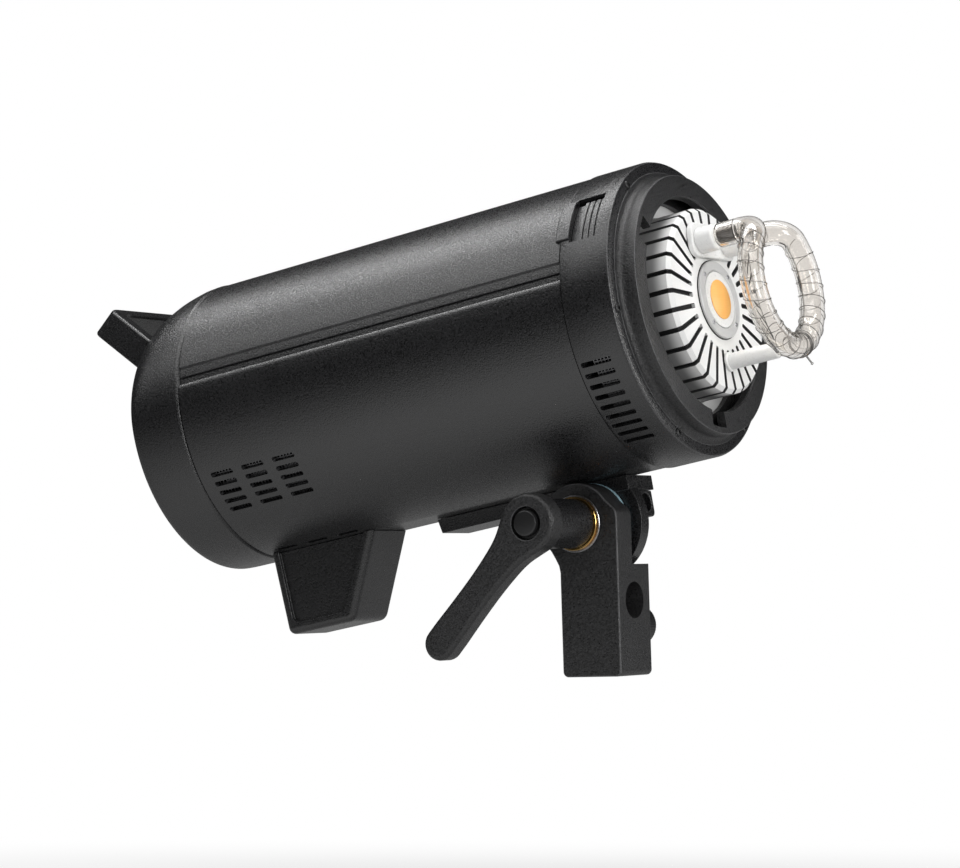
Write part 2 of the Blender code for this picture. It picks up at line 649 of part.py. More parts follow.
# Friction disc, cut flat where it passes under the body
pad = [(x, min(z, -FLAT_Z - 0.6)) for x, z in circle((0.0, -AXIS_UP), PAD_R, 48)]
friction_disc = body('friction_disc', prism(pad, CHEEK + FIT, EAR_Y[0] - FIT, 'Y'))
cut(friction_disc, prism(circle((0.0, -AXIS_UP), BOLT_R + FIT, 24), -9.0, 9.0, 'Y'))
finish(friction_disc, ((0.5, 0.72, 0.82), 0.0, 0.5), head)

nut = circle((0.0, -AXIS_UP), 9.6, 6)
pivot_nut = body('pivot_nut', prism(nut, EAR_Y[1] + FIT, EAR_Y[1] + 4.3, 'Y'))
cut(pivot_nut, prism(circle((0.0, -AXIS_UP), BOLT_R + FIT, 24), 0.0, 30.0, 'Y'))
finish(pivot_nut, STEEL, head)

# Bracket: one block with a cheek beside the ear and two crossing sockets
side = [(-BLOCK_X, 0.0), (-BLOCK_X, STEP_Z)]
side += [(PIVOT_X + HEAD_R * math.cos(math.radians(a)), PIVOT_Z + HEAD_R * math.sin(math.radians(a)))
         for a in range(216, 30, -8)]
side += [(BLOCK_X - 1.0, PIVOT_Z + 6.0), (BLOCK_X, PIVOT_Z + 2.0), (BLOCK_X, 0.0)]
bracket = body('bracket', prism(side, -BLOCK_Y, BLOCK_Y, 'Y'))
bevel(bracket, 1.6, 2, 50.0)
cut(
    bracket,
    prism([(-40.0, STEP_Z), (40.0, STEP_Z), (40.0, 110.0), (-40.0, 110.0)], CHEEK, 30.0, 'Y'),
    prism(circle((PIVOT_X, PIVOT_Z), EAR_R + 0.6, 48), CHEEK, 30.0, 'Y'),
    prism(circle((0.0, 0.0), STAND_BORE, 32), -5.0, SIDE_BORE_Z, 'Z'),
    prism(circle((0.0, SIDE_BORE_Z), SIDE_BORE, 32), -30.0, 30.0, 'X'),
    prism(circle((PIVOT_X, PIVOT_Z), BOLT_R + FIT, 24), -30.0, 5.0, 'Y'),
    prism(circle((0.0, KNOB_Z), 3.7 + FIT, 20), 4.0, 30.0, 'Y'),
)
finish(bracket, BLACK)

# Lock knob for the stand socket
lobes = []
for k in range(36):
    turn = 2 * math.pi * k / 36
    reach = 9.0 + 0.9 * math.cos(6 * turn)
    lobes.append((reach * math.cos(turn), KNOB_Z + reach * math.sin(turn)))
knob = body('stand_knob', prism(lobes, 15.5, 30.0, 'Y'))
bevel(knob, 1.0, 1, 60.0)
weld(knob, prism(circle((0.0, KNOB_Z), 3.7, 20), STAND_BORE + 0.5, 20.0, 'Y'))
finish(knob, DARK)

# Clamp: washers, bolt with sleeve, lever and its cap
centre = (PIVOT_X, PIVOT_Z)
clear = BOLT_R + FIT


def turned(name, profile, look, steps=32, at=centre, parent=None):
    return finish(body(name, lathe(profile, steps, 'Y', at)), look, parent)


low, high = -BLOCK_Y - 1.3, -BLOCK_Y - FIT
turned('steel_washer', [(low, clear), (low, 12.9), (high, 12.9), (high, clear)], STEEL, 40)
low, high = -BLOCK_Y - 2.9, -BLOCK_Y - 1.6
BRASS = ((0.78, 0.52, 0.2), 1.0, 0.3)
turned('brass_washer', [(low, clear), (low, 12.5), (high, 12.5), (high, clear)], BRASS, 40)
sleeve = -BLOCK_Y - 3.2
hub_back = LEVER_Y[1] + FIT
bolt = [(EAR_Y[1] + 4.0, 0), (EAR_Y[1] + 4.0, BOLT_R), (sleeve, BOLT_R), (sleeve, SLEEVE_R - 0.6)]
bolt_end = LEVER_Y[0] + 5.0
bolt += [(sleeve - 0.6, SLEEVE_R), (hub_back, SLEEVE_R), (hub_back, BOLT_R), (bolt_end, BOLT_R), (bolt_end, 0)]
shift = (0.0, 0.0)
turned('clamp_bolt', bolt, BLACK, 32, shift, clamp)

heading = math.atan2(LEVER_END[1], LEVER_END[0])
arm = []
for k in range(21):
    turn = heading + math.radians(118.0 + 124.0 * k / 20)
    arm.append((13.0 * math.cos(turn), 13.0 * math.sin(turn)))
for radius, reach in ((7.6, 21.0), (6.6, 34.0)):
    spot = Vector((math.cos(heading), math.sin(heading))) * reach
    arm.append((spot[0] + radius * math.sin(heading), spot[1] - radius * math.cos(heading)))
for k in range(13):
    turn = heading + math.radians(-90.0 + 180.0 * k / 12)
    arm.append((LEVER_END[0] + 7.2 * math.cos(turn), LEVER_END[1] + 7.2 * math.sin(turn)))
for radius, reach in ((6.6, 34.0), (7.6, 21.0)):
    spot = Vector((math.cos(heading), math.sin(heading))) * reach
    arm.append((spot[0] - radius * math.sin(heading), spot[1] + radius * math.cos(heading)))
lever = body('clamp_lever', prism(arm, LEVER_Y[0], LEVER_Y[1], 'Y'))
bevel(lever, 2.2, 2, 60.0)
cut(
    lever,
    prism(circle((0.0, 0.0), 7.2, 32), LEVER_Y[0] - 5.0, LEVER_Y[0] + 3.4, 'Y'),
    prism(circle((0.0, 0.0), clear, 24), LEVER_Y[0] + 1.0, LEVER_Y[1] + 5.0, 'Y'),
)
finish(lever, BLACK, clamp)
low, high = LEVER_Y[0] + 0.8, LEVER_Y[0] + 3.1
turned('lever_cap', [(low, 0), (low, 6.2), (low + 0.5, 6.7), (high, 6.7), (high, 0)], DARK, 32, shift, clamp)

# Held inside: tray, capacitors, power board and fan
SLEEVED = ((0.02, 0.03, 0.09), 0.0, 0.3)
tray_z = 34.2 - BODY_R
tray_half = math.sqrt(LIP_IN ** 2 - (tray_z - 2.0) ** 2) + 2.6
tray = [(-tray_half, tray_z - 2.0), (tray_half, tray_z - 2.0), (tray_half, tray_z), (-tray_half, tray_z)]
finish(body('inner_tray', prism(tray, -152.0, 30.0, 'X')), STEEL, head)
for number, y in enumerate((-34.0, 0.0, 34.0)):
    at = (y, tray_z + FIT + 16.0)
    can = [(-58.0, 0), (-58.0, 15.2), (-57.2, 16.0), (27.0, 16.0), (28.0, 15.0), (28.0, 0)]
    finish(body('capacitor_%d' % (number + 1), lathe(can, 20, 'X', at)), SLEEVED, head)
board = body('power_board', brick((-95.0, 0.0, tray_z + 7.0), (60.0, 88.0, 1.6)))
posts = []
for x in (-120.0, -70.0):
    for y in (-39.0, 39.0):
        posts.append(prism(circle((x, y), 2.5, 10), tray_z + FIT, tray_z + 7.0, 'Z'))
blocks = [brick((-108.0, -18.0, tray_z + 18.0), (22.0, 26.0, 22.0))]
blocks.append(brick((-84.0, 20.0, tray_z + 16.0), (28.0, 20.0, 18.0)))
weld(board, merge(posts), merge(blocks))
finish(board, ((0.03, 0.16, 0.07), 0.0, 0.5), head)

fan_z = 10.0
frame = [(-30.0, tray_z + FIT), (30.0, tray_z + FIT), (30.0, fan_z + 30.0), (-30.0, fan_z + 30.0)]
fan_frame = body('fan_frame', prism(rounded(frame, 4.0), -148.0, -130.0, 'X'))
cut(fan_frame, prism(circle((0.0, fan_z), 28.0, 40), -151.0, -127.0, 'X'))
struts = [brick((-131.5, 0.0, fan_z), (3.0, 58.0, 3.0), turn) for turn in (0.0, 90.0)]
weld(fan_frame, struts[0], struts[1])
finish(fan_frame, DARK, head)
hub = [(-146.0, 0), (-146.0, 11.0), (-134.0, 11.0), (-134.0, 0)]
rotor = body('fan_rotor', lathe(hub, 28, 'X', (0.0, fan_z)))
for k in range(7):
    spin = Matrix.Rotation(2 * math.pi * k / 7, 3, 'X')
    pitch = Matrix.Rotation(math.radians(38.0), 3, 'Z')
    points, faces = brick((0.0, 0.0, 0.0), (12.0, 1.4, 17.5))
    points = [spin @ (pitch @ p + Vector((0.0, 0.0, 18.0))) + Vector((-140.0, 0.0, fan_z)) for p in points]
    weld(rotor, (points, faces))
finish(rotor, DARK, head)
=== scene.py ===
"""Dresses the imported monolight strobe: finishes, fine parts, floor, light and camera."""

import math

import bpy
import bmesh
from bpy.props import FloatProperty, FloatVectorProperty, IntProperty, PointerProperty
from mathutils import Matrix, Vector


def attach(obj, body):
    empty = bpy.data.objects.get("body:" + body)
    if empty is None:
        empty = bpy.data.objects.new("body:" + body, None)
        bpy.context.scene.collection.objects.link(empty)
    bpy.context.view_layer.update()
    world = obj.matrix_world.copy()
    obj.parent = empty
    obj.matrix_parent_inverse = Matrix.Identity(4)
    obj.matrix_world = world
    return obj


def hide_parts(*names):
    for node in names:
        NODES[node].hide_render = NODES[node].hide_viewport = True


bl_info = {
    "name": "Monolight strobe dresser",
    "version": (1, 0, 0),
    "blender": (4, 5, 0),
    "location": "3D View > Sidebar > Strobe",
    "description": "Builds the visible pieces of a studio flash head on its CAD frame",
    "category": "Object",
}

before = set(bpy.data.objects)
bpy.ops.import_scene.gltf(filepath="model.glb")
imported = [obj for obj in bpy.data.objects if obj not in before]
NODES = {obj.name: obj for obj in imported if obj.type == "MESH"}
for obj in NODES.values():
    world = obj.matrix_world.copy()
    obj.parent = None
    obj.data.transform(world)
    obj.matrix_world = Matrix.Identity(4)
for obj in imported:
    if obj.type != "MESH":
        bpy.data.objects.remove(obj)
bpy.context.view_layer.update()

MM = 0.001
# Edges painted paler, as rubbed paint and as a painted highlight: least bend in radians, and greatest width in
# millimetres
RUB_AND_HIGHLIGHT_BEND = 0.14
RUB_AND_HIGHLIGHT_WIDE = 0.36

# Dimensions shared with the frame, in millimetres and degrees
FIT = 0.3
PIVOT_X = -5.7
PIVOT_Z = 66.8
TILT = 9.35
AXIS_UP = 82.0
RING_FACE = 73.0
FLANGE_FACE = 64.6
COVER_SEAM = 40.6
CAP_SEAM = -162.6
REAR_FACE = -197.0
BODY_R = 65.2
BODY_IN = 62.6
FLAT_Z = 63.9
LIP_R = 62.3
LIP_IN = 59.8
COVER_R = 65.7
CAP_R = 65.5
SEAM_LOW = 13.4
SEAM_MID = 16.1
SEAM_TOP = 20.0
RING_R = 57.5
RING_IN = 47.5
RING_ROOM = 55.0
RING_TAIL = 58.3
SLOT_ANGLES = (35.0, 155.0, 275.0)
SLOT_WIDE = 13.0
DRUM_R = 41.0
DRUM_FACE = 80.0
SEAT = DRUM_FACE + FIT
LED_R = 12.4
TUBE_R = 5.4
LOOP_R = 27.4
LOOP_X = 111.5
LEG_ANGLE = 64.6
BEND = 9.0
CAP_START = 91.5
CAP_END = LOOP_X - BEND - 1.2
SLIDER_AT = 38.0
SLIDER_HALF = 10.5
SLIDER_BACK = 50.2
SLIDER_FRONT = 58.4
PIN_AT = 43.0
PIN_HOLE = 2.3
SLIDER_TRAVEL = 4.0
PANEL_R = 47.5
PANEL_BACK = -194.0
PANEL_FRONT = -191.3
CONTROL_FRONT = -189.0
BUTTON_Y = (-31.0, -20.0, -9.0, 2.0)
BUTTON_Z = -4.0
BUTTON_R = 4.0
DIAL_AT = (18.0, -5.0)
DIAL_R = 10.0
SWITCH_AT = (-16.0, -28.0)
SWITCH_SIZE = (11.0, 17.0)
INLET_AT = (8.0, -29.0)
INLET_SIZE = (27.0, 19.5)
JACK_AT = (35.0, -12.0)
DISPLAY_AT = (0.0, 18.0)
DISPLAY_SIZE = (44.0, 22.0)
HANDLE_AT = (-196.7, 38.8)
HANDLE_LEAN = 40.0
HANDLE_BAND = 14.5
HANDLE_SLANT = 0.24
GRIP_HALF = 14.9
GRIP_Z = -102.0
BLOCK_X = 14.5
BLOCK_Y = 14.0
STEP_Z = 48.6
HEAD_R = 17.6
CHEEK = -1.0
EAR_Y = (1.3, 8.5)
EAR_R = 24.0
BOLT_R = 5.0
PAD_R = 19.2
STAND_BORE = 8.25
SIDE_BORE = 8.0
SIDE_BORE_Z = 32.9
KNOB_Z = 21.6
KNOB_R = 9.0
LEVER_Y = (-57.0, -46.0)
SLEEVE_R = 10.8
LEVER_END = (-46.0, -50.5)
LEVER_HUB = 13.0
LEVER_TIP = 7.2
PLATE_FRONT = 20.5
PLATE_THICK = 6.4
UMBRELLA_AT = (17.5, -76.0)
UMBRELLA_R = 4.1
VENT_X = (-150.0, -133.0, -116.0)
VENT_ANGLES = (-25.9, -30.05, -34.2, -38.35, -42.5, -74.4)

# Places of the pivot, the head and the base in the frame
PIVOT = Matrix.Translation(Vector((PIVOT_X, 0.0, PIVOT_Z)) * MM)
HEAD = PIVOT @ Matrix.Rotation(math.radians(-TILT), 4, "Y") @ Matrix.Translation((0.0, 0.0, AXIS_UP * MM))
BASE = Matrix.Identity(4)


def ahead_of_head(x):
    return HEAD @ Matrix.Translation((x * MM, 0.0, 0.0))


# The photograph's view
IMAGE = (960, 868)
CAMERA_AT = (0.7509, -1.3294, 0.0343)
CAMERA_AHEAD = (-0.52103, 0.85219, 0.04798)
CAMERA_DOWN = (-0.05033, 0.02544, -0.99841)
FOCAL_PX = 3479.7


# Outlines ----------------------------------------------------------------

def polar(radius, angle):
    """Point across the head: angles run from the right side (-Y) upwards."""
    turn = math.radians(angle)
    return (-radius * math.cos(turn), radius * math.sin(turn))


def arc(radius, start, end, steps):
    return [polar(radius, start + (end - start) * i / steps) for i in range(steps + 1)]


def circle(centre, radius, steps):
    turns = [2 * math.pi * i / steps for i in range(steps)]
    return [(centre[0] + radius * math.cos(t), centre[1] + radius * math.sin(t)) for t in turns]


def flat(points, depth):
    return [(y, max(z, -depth)) for y, z in points]


def rounded(corners, radius, steps=5):
    """Round every corner of a plane outline."""
    out = []
    count = len(corners)
    for i in range(count):
        corner = Vector(corners[i])
        back = (Vector(corners[i - 1]) - corner).normalized()
        ahead = (Vector(corners[(i + 1) % count]) - corner).normalized()
        half = back.angle(ahead) / 2
        reach = radius / math.tan(half)
        middle = corner + (back + ahead).normalized() * (radius / math.sin(half))
        first = corner + back * reach - middle
        last = corner + ahead * reach - middle
        for k in range(steps + 1):
            out.append(tuple(middle + first.lerp(last, k / steps).normalized() * radius))
    return out


def box_line(centre, size, radius=1.5, wider=0.0):
    """Rounded rectangle about a centre."""
    u, v = size[0] / 2 + wider, size[1] / 2 + wider
    signs = ((-1, -1), (1, -1), (1, 1), (-1, 1))
    return rounded([(centre[0] + a * u, centre[1] + b * v) for a, b in signs], radius)


def box_corners(low, high, inner, outer):
    return [(low, inner), (high, inner), (high, outer), (low, outer)]


def shifted(points, along, out=0.0):
    return [(x + along, r + out) for x, r in points]


def smooth_line(points, per=4):
    """Curve through the points of an open line."""
    points = [Vector(p) for p in points]
    ends = [points[0] * 2 - points[1]] + points + [points[-1] * 2 - points[-2]]
    out = []
    for i in range(1, len(ends) - 2):
        a, b, c, d = ends[i - 1:i + 3]
        for k in range(per):
            t = k / per
            out.append(tuple(0.5 * (2 * b + (c - a) * t + (2 * a - 5 * b + 4 * c - d) * t * t
                                    + (3 * b - a - 3 * c + d) * t ** 3)))
    out.append(tuple(points[-1]))
    return out


# Shapes: lists of points in millimetres and of faces ---------------------

def lay(axis, u, v, w):
    """Plane point (u, v) at height w along the named axis."""
    return {"X": (w, u, v), "Y": (u, w, v), "Z": (u, v, w)}[axis]


def rows_of(count, size):
    """Numbers of points that lie in rows."""
    return [list(range(k * size, (k + 1) * size)) for k in range(count)]


def stitched(rows):
    """Faces from each row of points to the next, where each row runs round."""
    faces = []
    for low, high in zip(rows, rows[1:]):
        for i in range(len(low)):
            j = (i + 1) % len(low)
            loop = tuple(dict.fromkeys((low[i], low[j], high[j], high[i])))
            if len(loop) > 2:
                faces.append(loop)
    return faces


def capped(rows):
    """Stitched rows with a face over each end."""
    return [tuple(rows[0]), tuple(reversed(rows[-1]))] + stitched(rows)


def prism(outline, low, high, axis):
    points = [lay(axis, u, v, w) for w in (low, high) for u, v in outline]
    return points, capped(rows_of(2, len(outline)))


def rod(centre, radius, steps, low, high, axis):
    return prism(circle(centre, radius, steps), low, high, axis)


def lathe(profile, steps, axis="X", centre=(0.0, 0.0)):
    """Turn a closed (along, radius) outline; points with radius 0 are poles."""
    points = []
    rows = []
    for along, radius in profile:
        if radius < 1e-6:
            points.append(lay(axis, centre[0], centre[1], along))
            rows.append([len(points) - 1] * steps)
            continue
        rows.append(list(range(len(points), len(points) + steps)))
        points += [lay(axis, u, v, along) for u, v in circle(centre, radius, steps)]
    return points, stitched(rows + rows[:1])


def sector(profile, start, end, steps):
    """Turn an (along, radius) outline part of the way round the head."""
    angles = [start + (end - start) * i / steps for i in range(steps + 1)]
    points = [(along,) + polar(radius, angle) for angle in angles for along, radius in profile]
    return points, capped(rows_of(steps + 1, len(profile)))


def rings_along(path, radius, sides):
    """Circles square to a path, carried without twist."""
    path = [Vector(p) for p in path]
    normal = Vector((0.0, 0.37, 0.93))
    rings = []
    for i, centre in enumerate(path):
        ahead = (path[min(i + 1, len(path) - 1)] - path[max(i - 1, 0)]).normalized()
        normal = (normal - ahead * normal.dot(ahead)).normalized()
        across = ahead.cross(normal)
        turns = [2 * math.pi * k / sides for k in range(sides)]
        rings.append([centre + (normal * math.cos(t) + across * math.sin(t)) * radius for t in turns])
    return rings


def tube(path, outer, inner, sides):
    """Hollow tube along a path, its wall closed at both ends."""
    rings = rings_along(path, outer, sides) + rings_along(path, inner, sides)[::-1]
    rows = rows_of(len(rings), sides)
    return [p for ring in rings for p in ring], stitched(rows + rows[:1])


def brick(centre, size):
    """Box about a centre."""
    signs = [(a, b, c) for a in (-0.5, 0.5) for b in (-0.5, 0.5) for c in (-0.5, 0.5)]
    points = [Vector(centre) + Vector([s * d for s, d in zip(sign, size)]) for sign in signs]
    faces = [(0, 1, 3, 2), (4, 6, 7, 5), (0, 4, 5, 1), (2, 3, 7, 6), (0, 2, 6, 4), (1, 5, 7, 3)]
    return points, faces


def spoke(angle):
    """Directions out from the head's axis and round it."""
    turn = math.radians(angle)
    return Vector((0.0, -math.cos(turn), math.sin(turn))), Vector((0.0, math.sin(turn), math.cos(turn)))


def slot_tool(x, angle, radius, length, width, corner=0.8):
    """Rounded slot through the wall, standing square to it."""
    points, faces = prism(box_line((0.0, 0.0), (length, width), corner), -6.0, 6.0, "Z")
    out, side = spoke(angle)
    base = Vector((x, 0.0, 0.0)) + out * radius
    return [base + Vector((p[0], 0.0, 0.0)) + side * p[1] + out * p[2] for p in points], faces


def join(shapes):
    points = []
    faces = []
    for more, sides in shapes:
        start = len(points)
        points += list(more)
        faces += [tuple(start + i for i in side) for side in sides]
    return points, faces


# Pieces ------------------------------------------------------------------

def put(name, data):
    made = bpy.data.objects.new(name, data)
    bpy.context.scene.collection.objects.link(made)
    return made


def piece_of(name, shape):
    """Mesh object facing outward, from a millimetre shape."""
    mesh = bpy.data.meshes.new(name)
    mesh.from_pydata([Vector(p) * MM for p in shape[0]], [], shape[1])
    work = bmesh.new()
    work.from_mesh(mesh)
    bmesh.ops.recalc_face_normals(work, faces=work.faces[:])
    work.to_mesh(mesh)
    work.free()
    return put(name, mesh)


def copy_of(name, cad):
    """Merged copy of a CAD node, in metres, as it lies in the frame."""
    mesh = NODES[cad].data.copy()
    work = bmesh.new()
    work.from_mesh(mesh)
    bmesh.ops.remove_doubles(work, verts=work.verts[:], dist=1e-6)
    bmesh.ops.dissolve_limit(work, angle_limit=math.radians(0.5), verts=work.verts[:], edges=work.edges[:])
    work.to_mesh(mesh)
    work.free()
    mesh.materials.clear()
    return put(name, mesh)


def settle(piece):
    """Turn the object's modifiers into plain mesh."""
    bpy.context.view_layer.update()
    graph = bpy.context.evaluated_depsgraph_get()
    solid = piece.evaluated_get(graph)
    mesh = bpy.data.meshes.new_from_object(solid, preserve_all_data_layers=True, depsgraph=graph)
    piece.modifiers.clear()
    old = piece.data
    piece.data = mesh
    bpy.data.meshes.remove(old)


def soften(piece, width, segments=3, limit=35.0):
    """Round the edges that are sharper than a limit."""
    piece.data.shade_smooth()
    mod = piece.modifiers.new("rounding", "BEVEL")
    mod.width = width * MM
    mod.segments = segments
    mod.limit_method = "ANGLE"
    mod.angle_limit = math.radians(limit)
    mod.harden_normals = True
    mod.use_clamp_overlap = True
    settle(piece)


def shade(piece, limit=35.0):
    piece.data.shade_smooth()
    piece.data.set_sharp_from_angle(angle=math.radians(limit))


def carve(piece, *shapes, operation="DIFFERENCE"):
    tools = [piece_of("tool", shape) for shape in shapes]
    for tool in tools:
        mod = piece.modifiers.new("cut", "BOOLEAN")
        mod.operation = operation
        mod.solver = "EXACT"
        mod.object = tool
    settle(piece)
    for tool in tools:
        bpy.data.objects.remove(tool, do_unlink=True)


def mark_edges(mesh):
    """Face attribute that is 1 on the narrow facets of rounded outer edges."""
    work = bmesh.new()
    work.from_mesh(mesh)
    marks = []
    for face in work.faces:
        outer = [e for e in face.edges if e.is_convex and len(e.link_faces) == 2]
        bent = sum(1 for e in outer if e.calc_face_angle() > RUB_AND_HIGHLIGHT_BEND)
        thin = 2.0 * face.calc_area() < RUB_AND_HIGHLIGHT_WIDE * MM * sum(e.calc_length() for e in face.edges)
        marks.append(1.0 if bent > 1 and thin else 0.0)
    work.free()
    # Mask of the edges painted paler, as wear and as a painted highlight
    layer = mesh.attributes.new("rub_and_highlight_mask", "FLOAT", "FACE")
    layer.data.foreach_set("value", marks)


def even(piece, limit=50.0):
    """Flat faces shade flat and rounded edges shade round, after cutting."""
    mesh = piece.data
    if "custom_normal" in mesh.attributes:
        mesh.attributes.remove(mesh.attributes["custom_normal"])
    shade(piece, limit)
    mod = piece.modifiers.new("weights", "WEIGHTED_NORMAL")
    mod.keep_sharp = True
    mod.weight = 100
    settle(piece)


def dress(piece, look, *nodes, place=HEAD, body="head", slot=None):
    """Put a finished piece in its place, on its body, and let it stand for its nodes."""
    mark_edges(piece.data)
    piece.data.transform(place)
    piece.data.materials.clear()
    piece.data.materials.append(LOOKS[look])
    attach(piece, body)
    if nodes:
        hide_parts(*nodes)


def plain(name, shape, limit, look, *nodes, cuts=(), **where):
    """Piece with sharp edges, cut by shapes."""
    piece = piece_of(name, shape)
    if cuts:
        carve(piece, *cuts)
    shade(piece, limit)
    dress(piece, look, *nodes, **where)


def turned(name, line, steps, look, *nodes, axis="X", centre=(0.0, 0.0), limit=35.0, **where):
    """Turned piece with sharp edges."""
    plain(name, lathe(line, steps, axis, centre), limit, look, *nodes, **where)


def moulded(name, shape, rounding, look, *nodes, cuts=(), **where):
    """Piece cut by shapes, then rounded; rounding as in soften."""
    piece = piece_of(name, shape)
    if cuts:
        carve(piece, *cuts)
    soften(piece, *rounding)
    dress(piece, look, *nodes, **where)


def machined(name, shape, first, cuts, second, look, *nodes, **where):
    """Piece rounded before and after cutting, with even shading."""
    piece = piece_of(name, shape)
    soften(piece, *first)
    carve(piece, *cuts)
    if second:
        soften(piece, *second)
    even(piece)
    dress(piece, look, *nodes, **where)


def refined(name, cad, width, segments, look, body):
    """Rounded copy of a CAD node, in the node's place."""
    piece = copy_of(name, cad)
    soften(piece, width, segments)
    dress(piece, look, cad, place=BASE, body=body)


def grow(piece, tree, **values):
    """Run a node tree on a piece and keep the result as plain mesh."""
    mod = piece.modifiers.new(tree.name, "NODES")
    mod.node_group = tree
    for item in tree.interface.items_tree:
        key = item.name.lower().replace(" ", "_")
        if item.item_type == "SOCKET" and item.in_out == "INPUT" and key in values:
            mod[item.identifier] = values[key]
    settle(piece)


def both_sides(angles):
    return [side for angle in angles for side in (angle, 180 - angle)]


def set_round(piece, look, count, radius, phase, step=None):
    """Copies round the X axis: radius in millimetres, angles in degrees."""
    step = 360.0 / count if step is None else step
    grow(piece, tree_of("set_round_axis"), count=count, radius=radius * MM, phase=math.radians(phase),
         step=math.radians(step), material=LOOKS[look])


# Nodes -------------------------------------------------------------------

def fill(tree, made, inputs):
    """Give a node's inputs, by name or number, a link or a plain value."""
    for spot, value in inputs.items():
        if isinstance(value, bpy.types.NodeSocket):
            tree.links.new(value, made.inputs[spot])
        else:
            made.inputs[spot].default_value = value


def node(tree, kind, inputs=None, **traits):
    """New node with its own traits, then its inputs."""
    made = tree.nodes.new(kind)
    for label, value in traits.items():
        setattr(made, label, value)
    fill(tree, made, inputs or {})
    return made


def math_node(tree, operation, first, second=0.0):
    return node(tree, "ShaderNodeMath", {0: first, 1: second}, operation=operation).outputs[0]


def product(tree, first, *others):
    for other in others:
        first = math_node(tree, "MULTIPLY", first, other)
    return first


def new_group(name, kind, inputs, outputs):
    """Node group with named sockets, and its first and last nodes."""
    group = bpy.data.node_groups.new(name, kind)
    for label, sort, *value in inputs:
        socket = group.interface.new_socket(label, in_out="INPUT", socket_type="NodeSocket" + sort)
        if value:
            socket.default_value = value[0]
    for label, sort in outputs:
        group.interface.new_socket(label, in_out="OUTPUT", socket_type="NodeSocket" + sort)
    return group, group.nodes.new("NodeGroupInput"), group.nodes.new("NodeGroupOutput")


# Geometry Nodes ----------------------------------------------------------

def new_tree(name, *inputs):
    """Geometry tree: its given inputs by name, and its last node."""
    shape = ("Geometry", "Geometry")
    inputs = (shape, *inputs, ("Material", "Material"))
    tree, first, last = new_group(name, "GeometryNodeTree", inputs, (shape,))
    return tree, first.outputs, last


def end_tree(tree, made, given, last):
    """Make copies real and give them their material."""
    real = node(tree, "GeometryNodeRealizeInstances", {0: made.outputs[0]})
    paint = node(tree, "GeometryNodeSetMaterial", {"Geometry": real.outputs[0], "Material": given["Material"]})
    fill(tree, last, {0: paint.outputs[0]})


def ring_tree():
    """Copies of one item set round the X axis; the item's +Z points outward."""
    tree, given, last = new_tree(
        "set_round_axis", ("Count", "Int"), ("Radius", "Float"), ("Phase", "Float"), ("Step", "Float"))
    line = node(tree, "GeometryNodeMeshLine", {"Count": given["Count"], "Offset": (0.0, 0.0, 0.0)})
    index = node(tree, "GeometryNodeInputIndex").outputs[0]
    angle = math_node(tree, "ADD", product(tree, index, given["Step"]), given["Phase"])
    side = product(tree, math_node(tree, "COSINE", angle), given["Radius"], -1.0)
    up = product(tree, math_node(tree, "SINE", angle), given["Radius"])
    place = node(tree, "ShaderNodeCombineXYZ", {"Y": side, "Z": up})
    move = node(tree, "GeometryNodeSetPosition", {"Geometry": line.outputs[0], "Position": place.outputs[0]})
    spin = node(tree, "ShaderNodeCombineXYZ", {"X": math_node(tree, "SUBTRACT", math.pi / 2, angle)})
    euler = node(tree, "FunctionNodeEulerToRotation", {0: spin.outputs[0]})
    copies = node(tree, "GeometryNodeInstanceOnPoints", {
        "Points": move.outputs[0], "Instance": given["Geometry"], "Rotation": euler.outputs[0]})
    end_tree(tree, copies, given, last)


def row_tree():
    """Copies of one item in a straight row."""
    tree, given, last = new_tree("set_in_row", ("Count", "Int"), ("Offset", "Vector"))
    line = node(tree, "GeometryNodeMeshLine", {"Count": given["Count"], "Offset": given["Offset"]})
    copies = node(tree, "GeometryNodeInstanceOnPoints", {
        "Points": line.outputs[0], "Instance": given["Geometry"]})
    end_tree(tree, copies, given, last)


def wire_tree():
    """Round wire along a line of edges."""
    tree, given, last = new_tree("round_wire", ("Radius", "Float"), ("Sides", "Int"))
    curve = node(tree, "GeometryNodeMeshToCurve", {0: given["Geometry"]})
    profile = node(tree, "GeometryNodeCurvePrimitiveCircle", {
        "Resolution": given["Sides"], "Radius": given["Radius"]})
    skin = node(tree, "GeometryNodeCurveToMesh", {
        "Curve": curve.outputs[0], "Profile Curve": profile.outputs[0], "Fill Caps": True})
    end_tree(tree, skin, given, last)


# Finishes ----------------------------------------------------------------

GREY = (0.5, 0.5, 0.5, 1.0)
DUST = (0.42, 0.41, 0.39, 1.0)
# Paler grey of rubbed edges, which also serves as a painted highlight on them
RUB_AND_HIGHLIGHT_GREY = (0.16, 0.16, 0.165, 1.0)
BUMP = 0.8
SLOW_PER_M = 34.0
SLOW_SHARE = 0.12
SPECKS_PER_M = 420.0
RUB_AND_HIGHLIGHT_PER_M = 160.0


def here(tree):
    return node(tree, "ShaderNodeTexCoord").outputs["Object"]


def noise(tree, coords, scale, detail, rough):
    inputs = {"Vector": coords, "Scale": scale, "Detail": detail, "Roughness": rough}
    return node(tree, "ShaderNodeTexNoise", inputs).outputs[0]


def ramp(tree, value, start, end, low=0.0, high=1.0, way="LINEAR"):
    """Map one range to another, held at both ends."""
    inputs = {"Value": value, "From Min": start, "From Max": end, "To Min": low, "To Max": high}
    return node(tree, "ShaderNodeMapRange", inputs, interpolation_type=way).outputs[0]


def spread(tree, value, low, high):
    """Map 0.3..0.7 of a pattern to a range."""
    return ramp(tree, value, 0.3, 0.7, low, high)


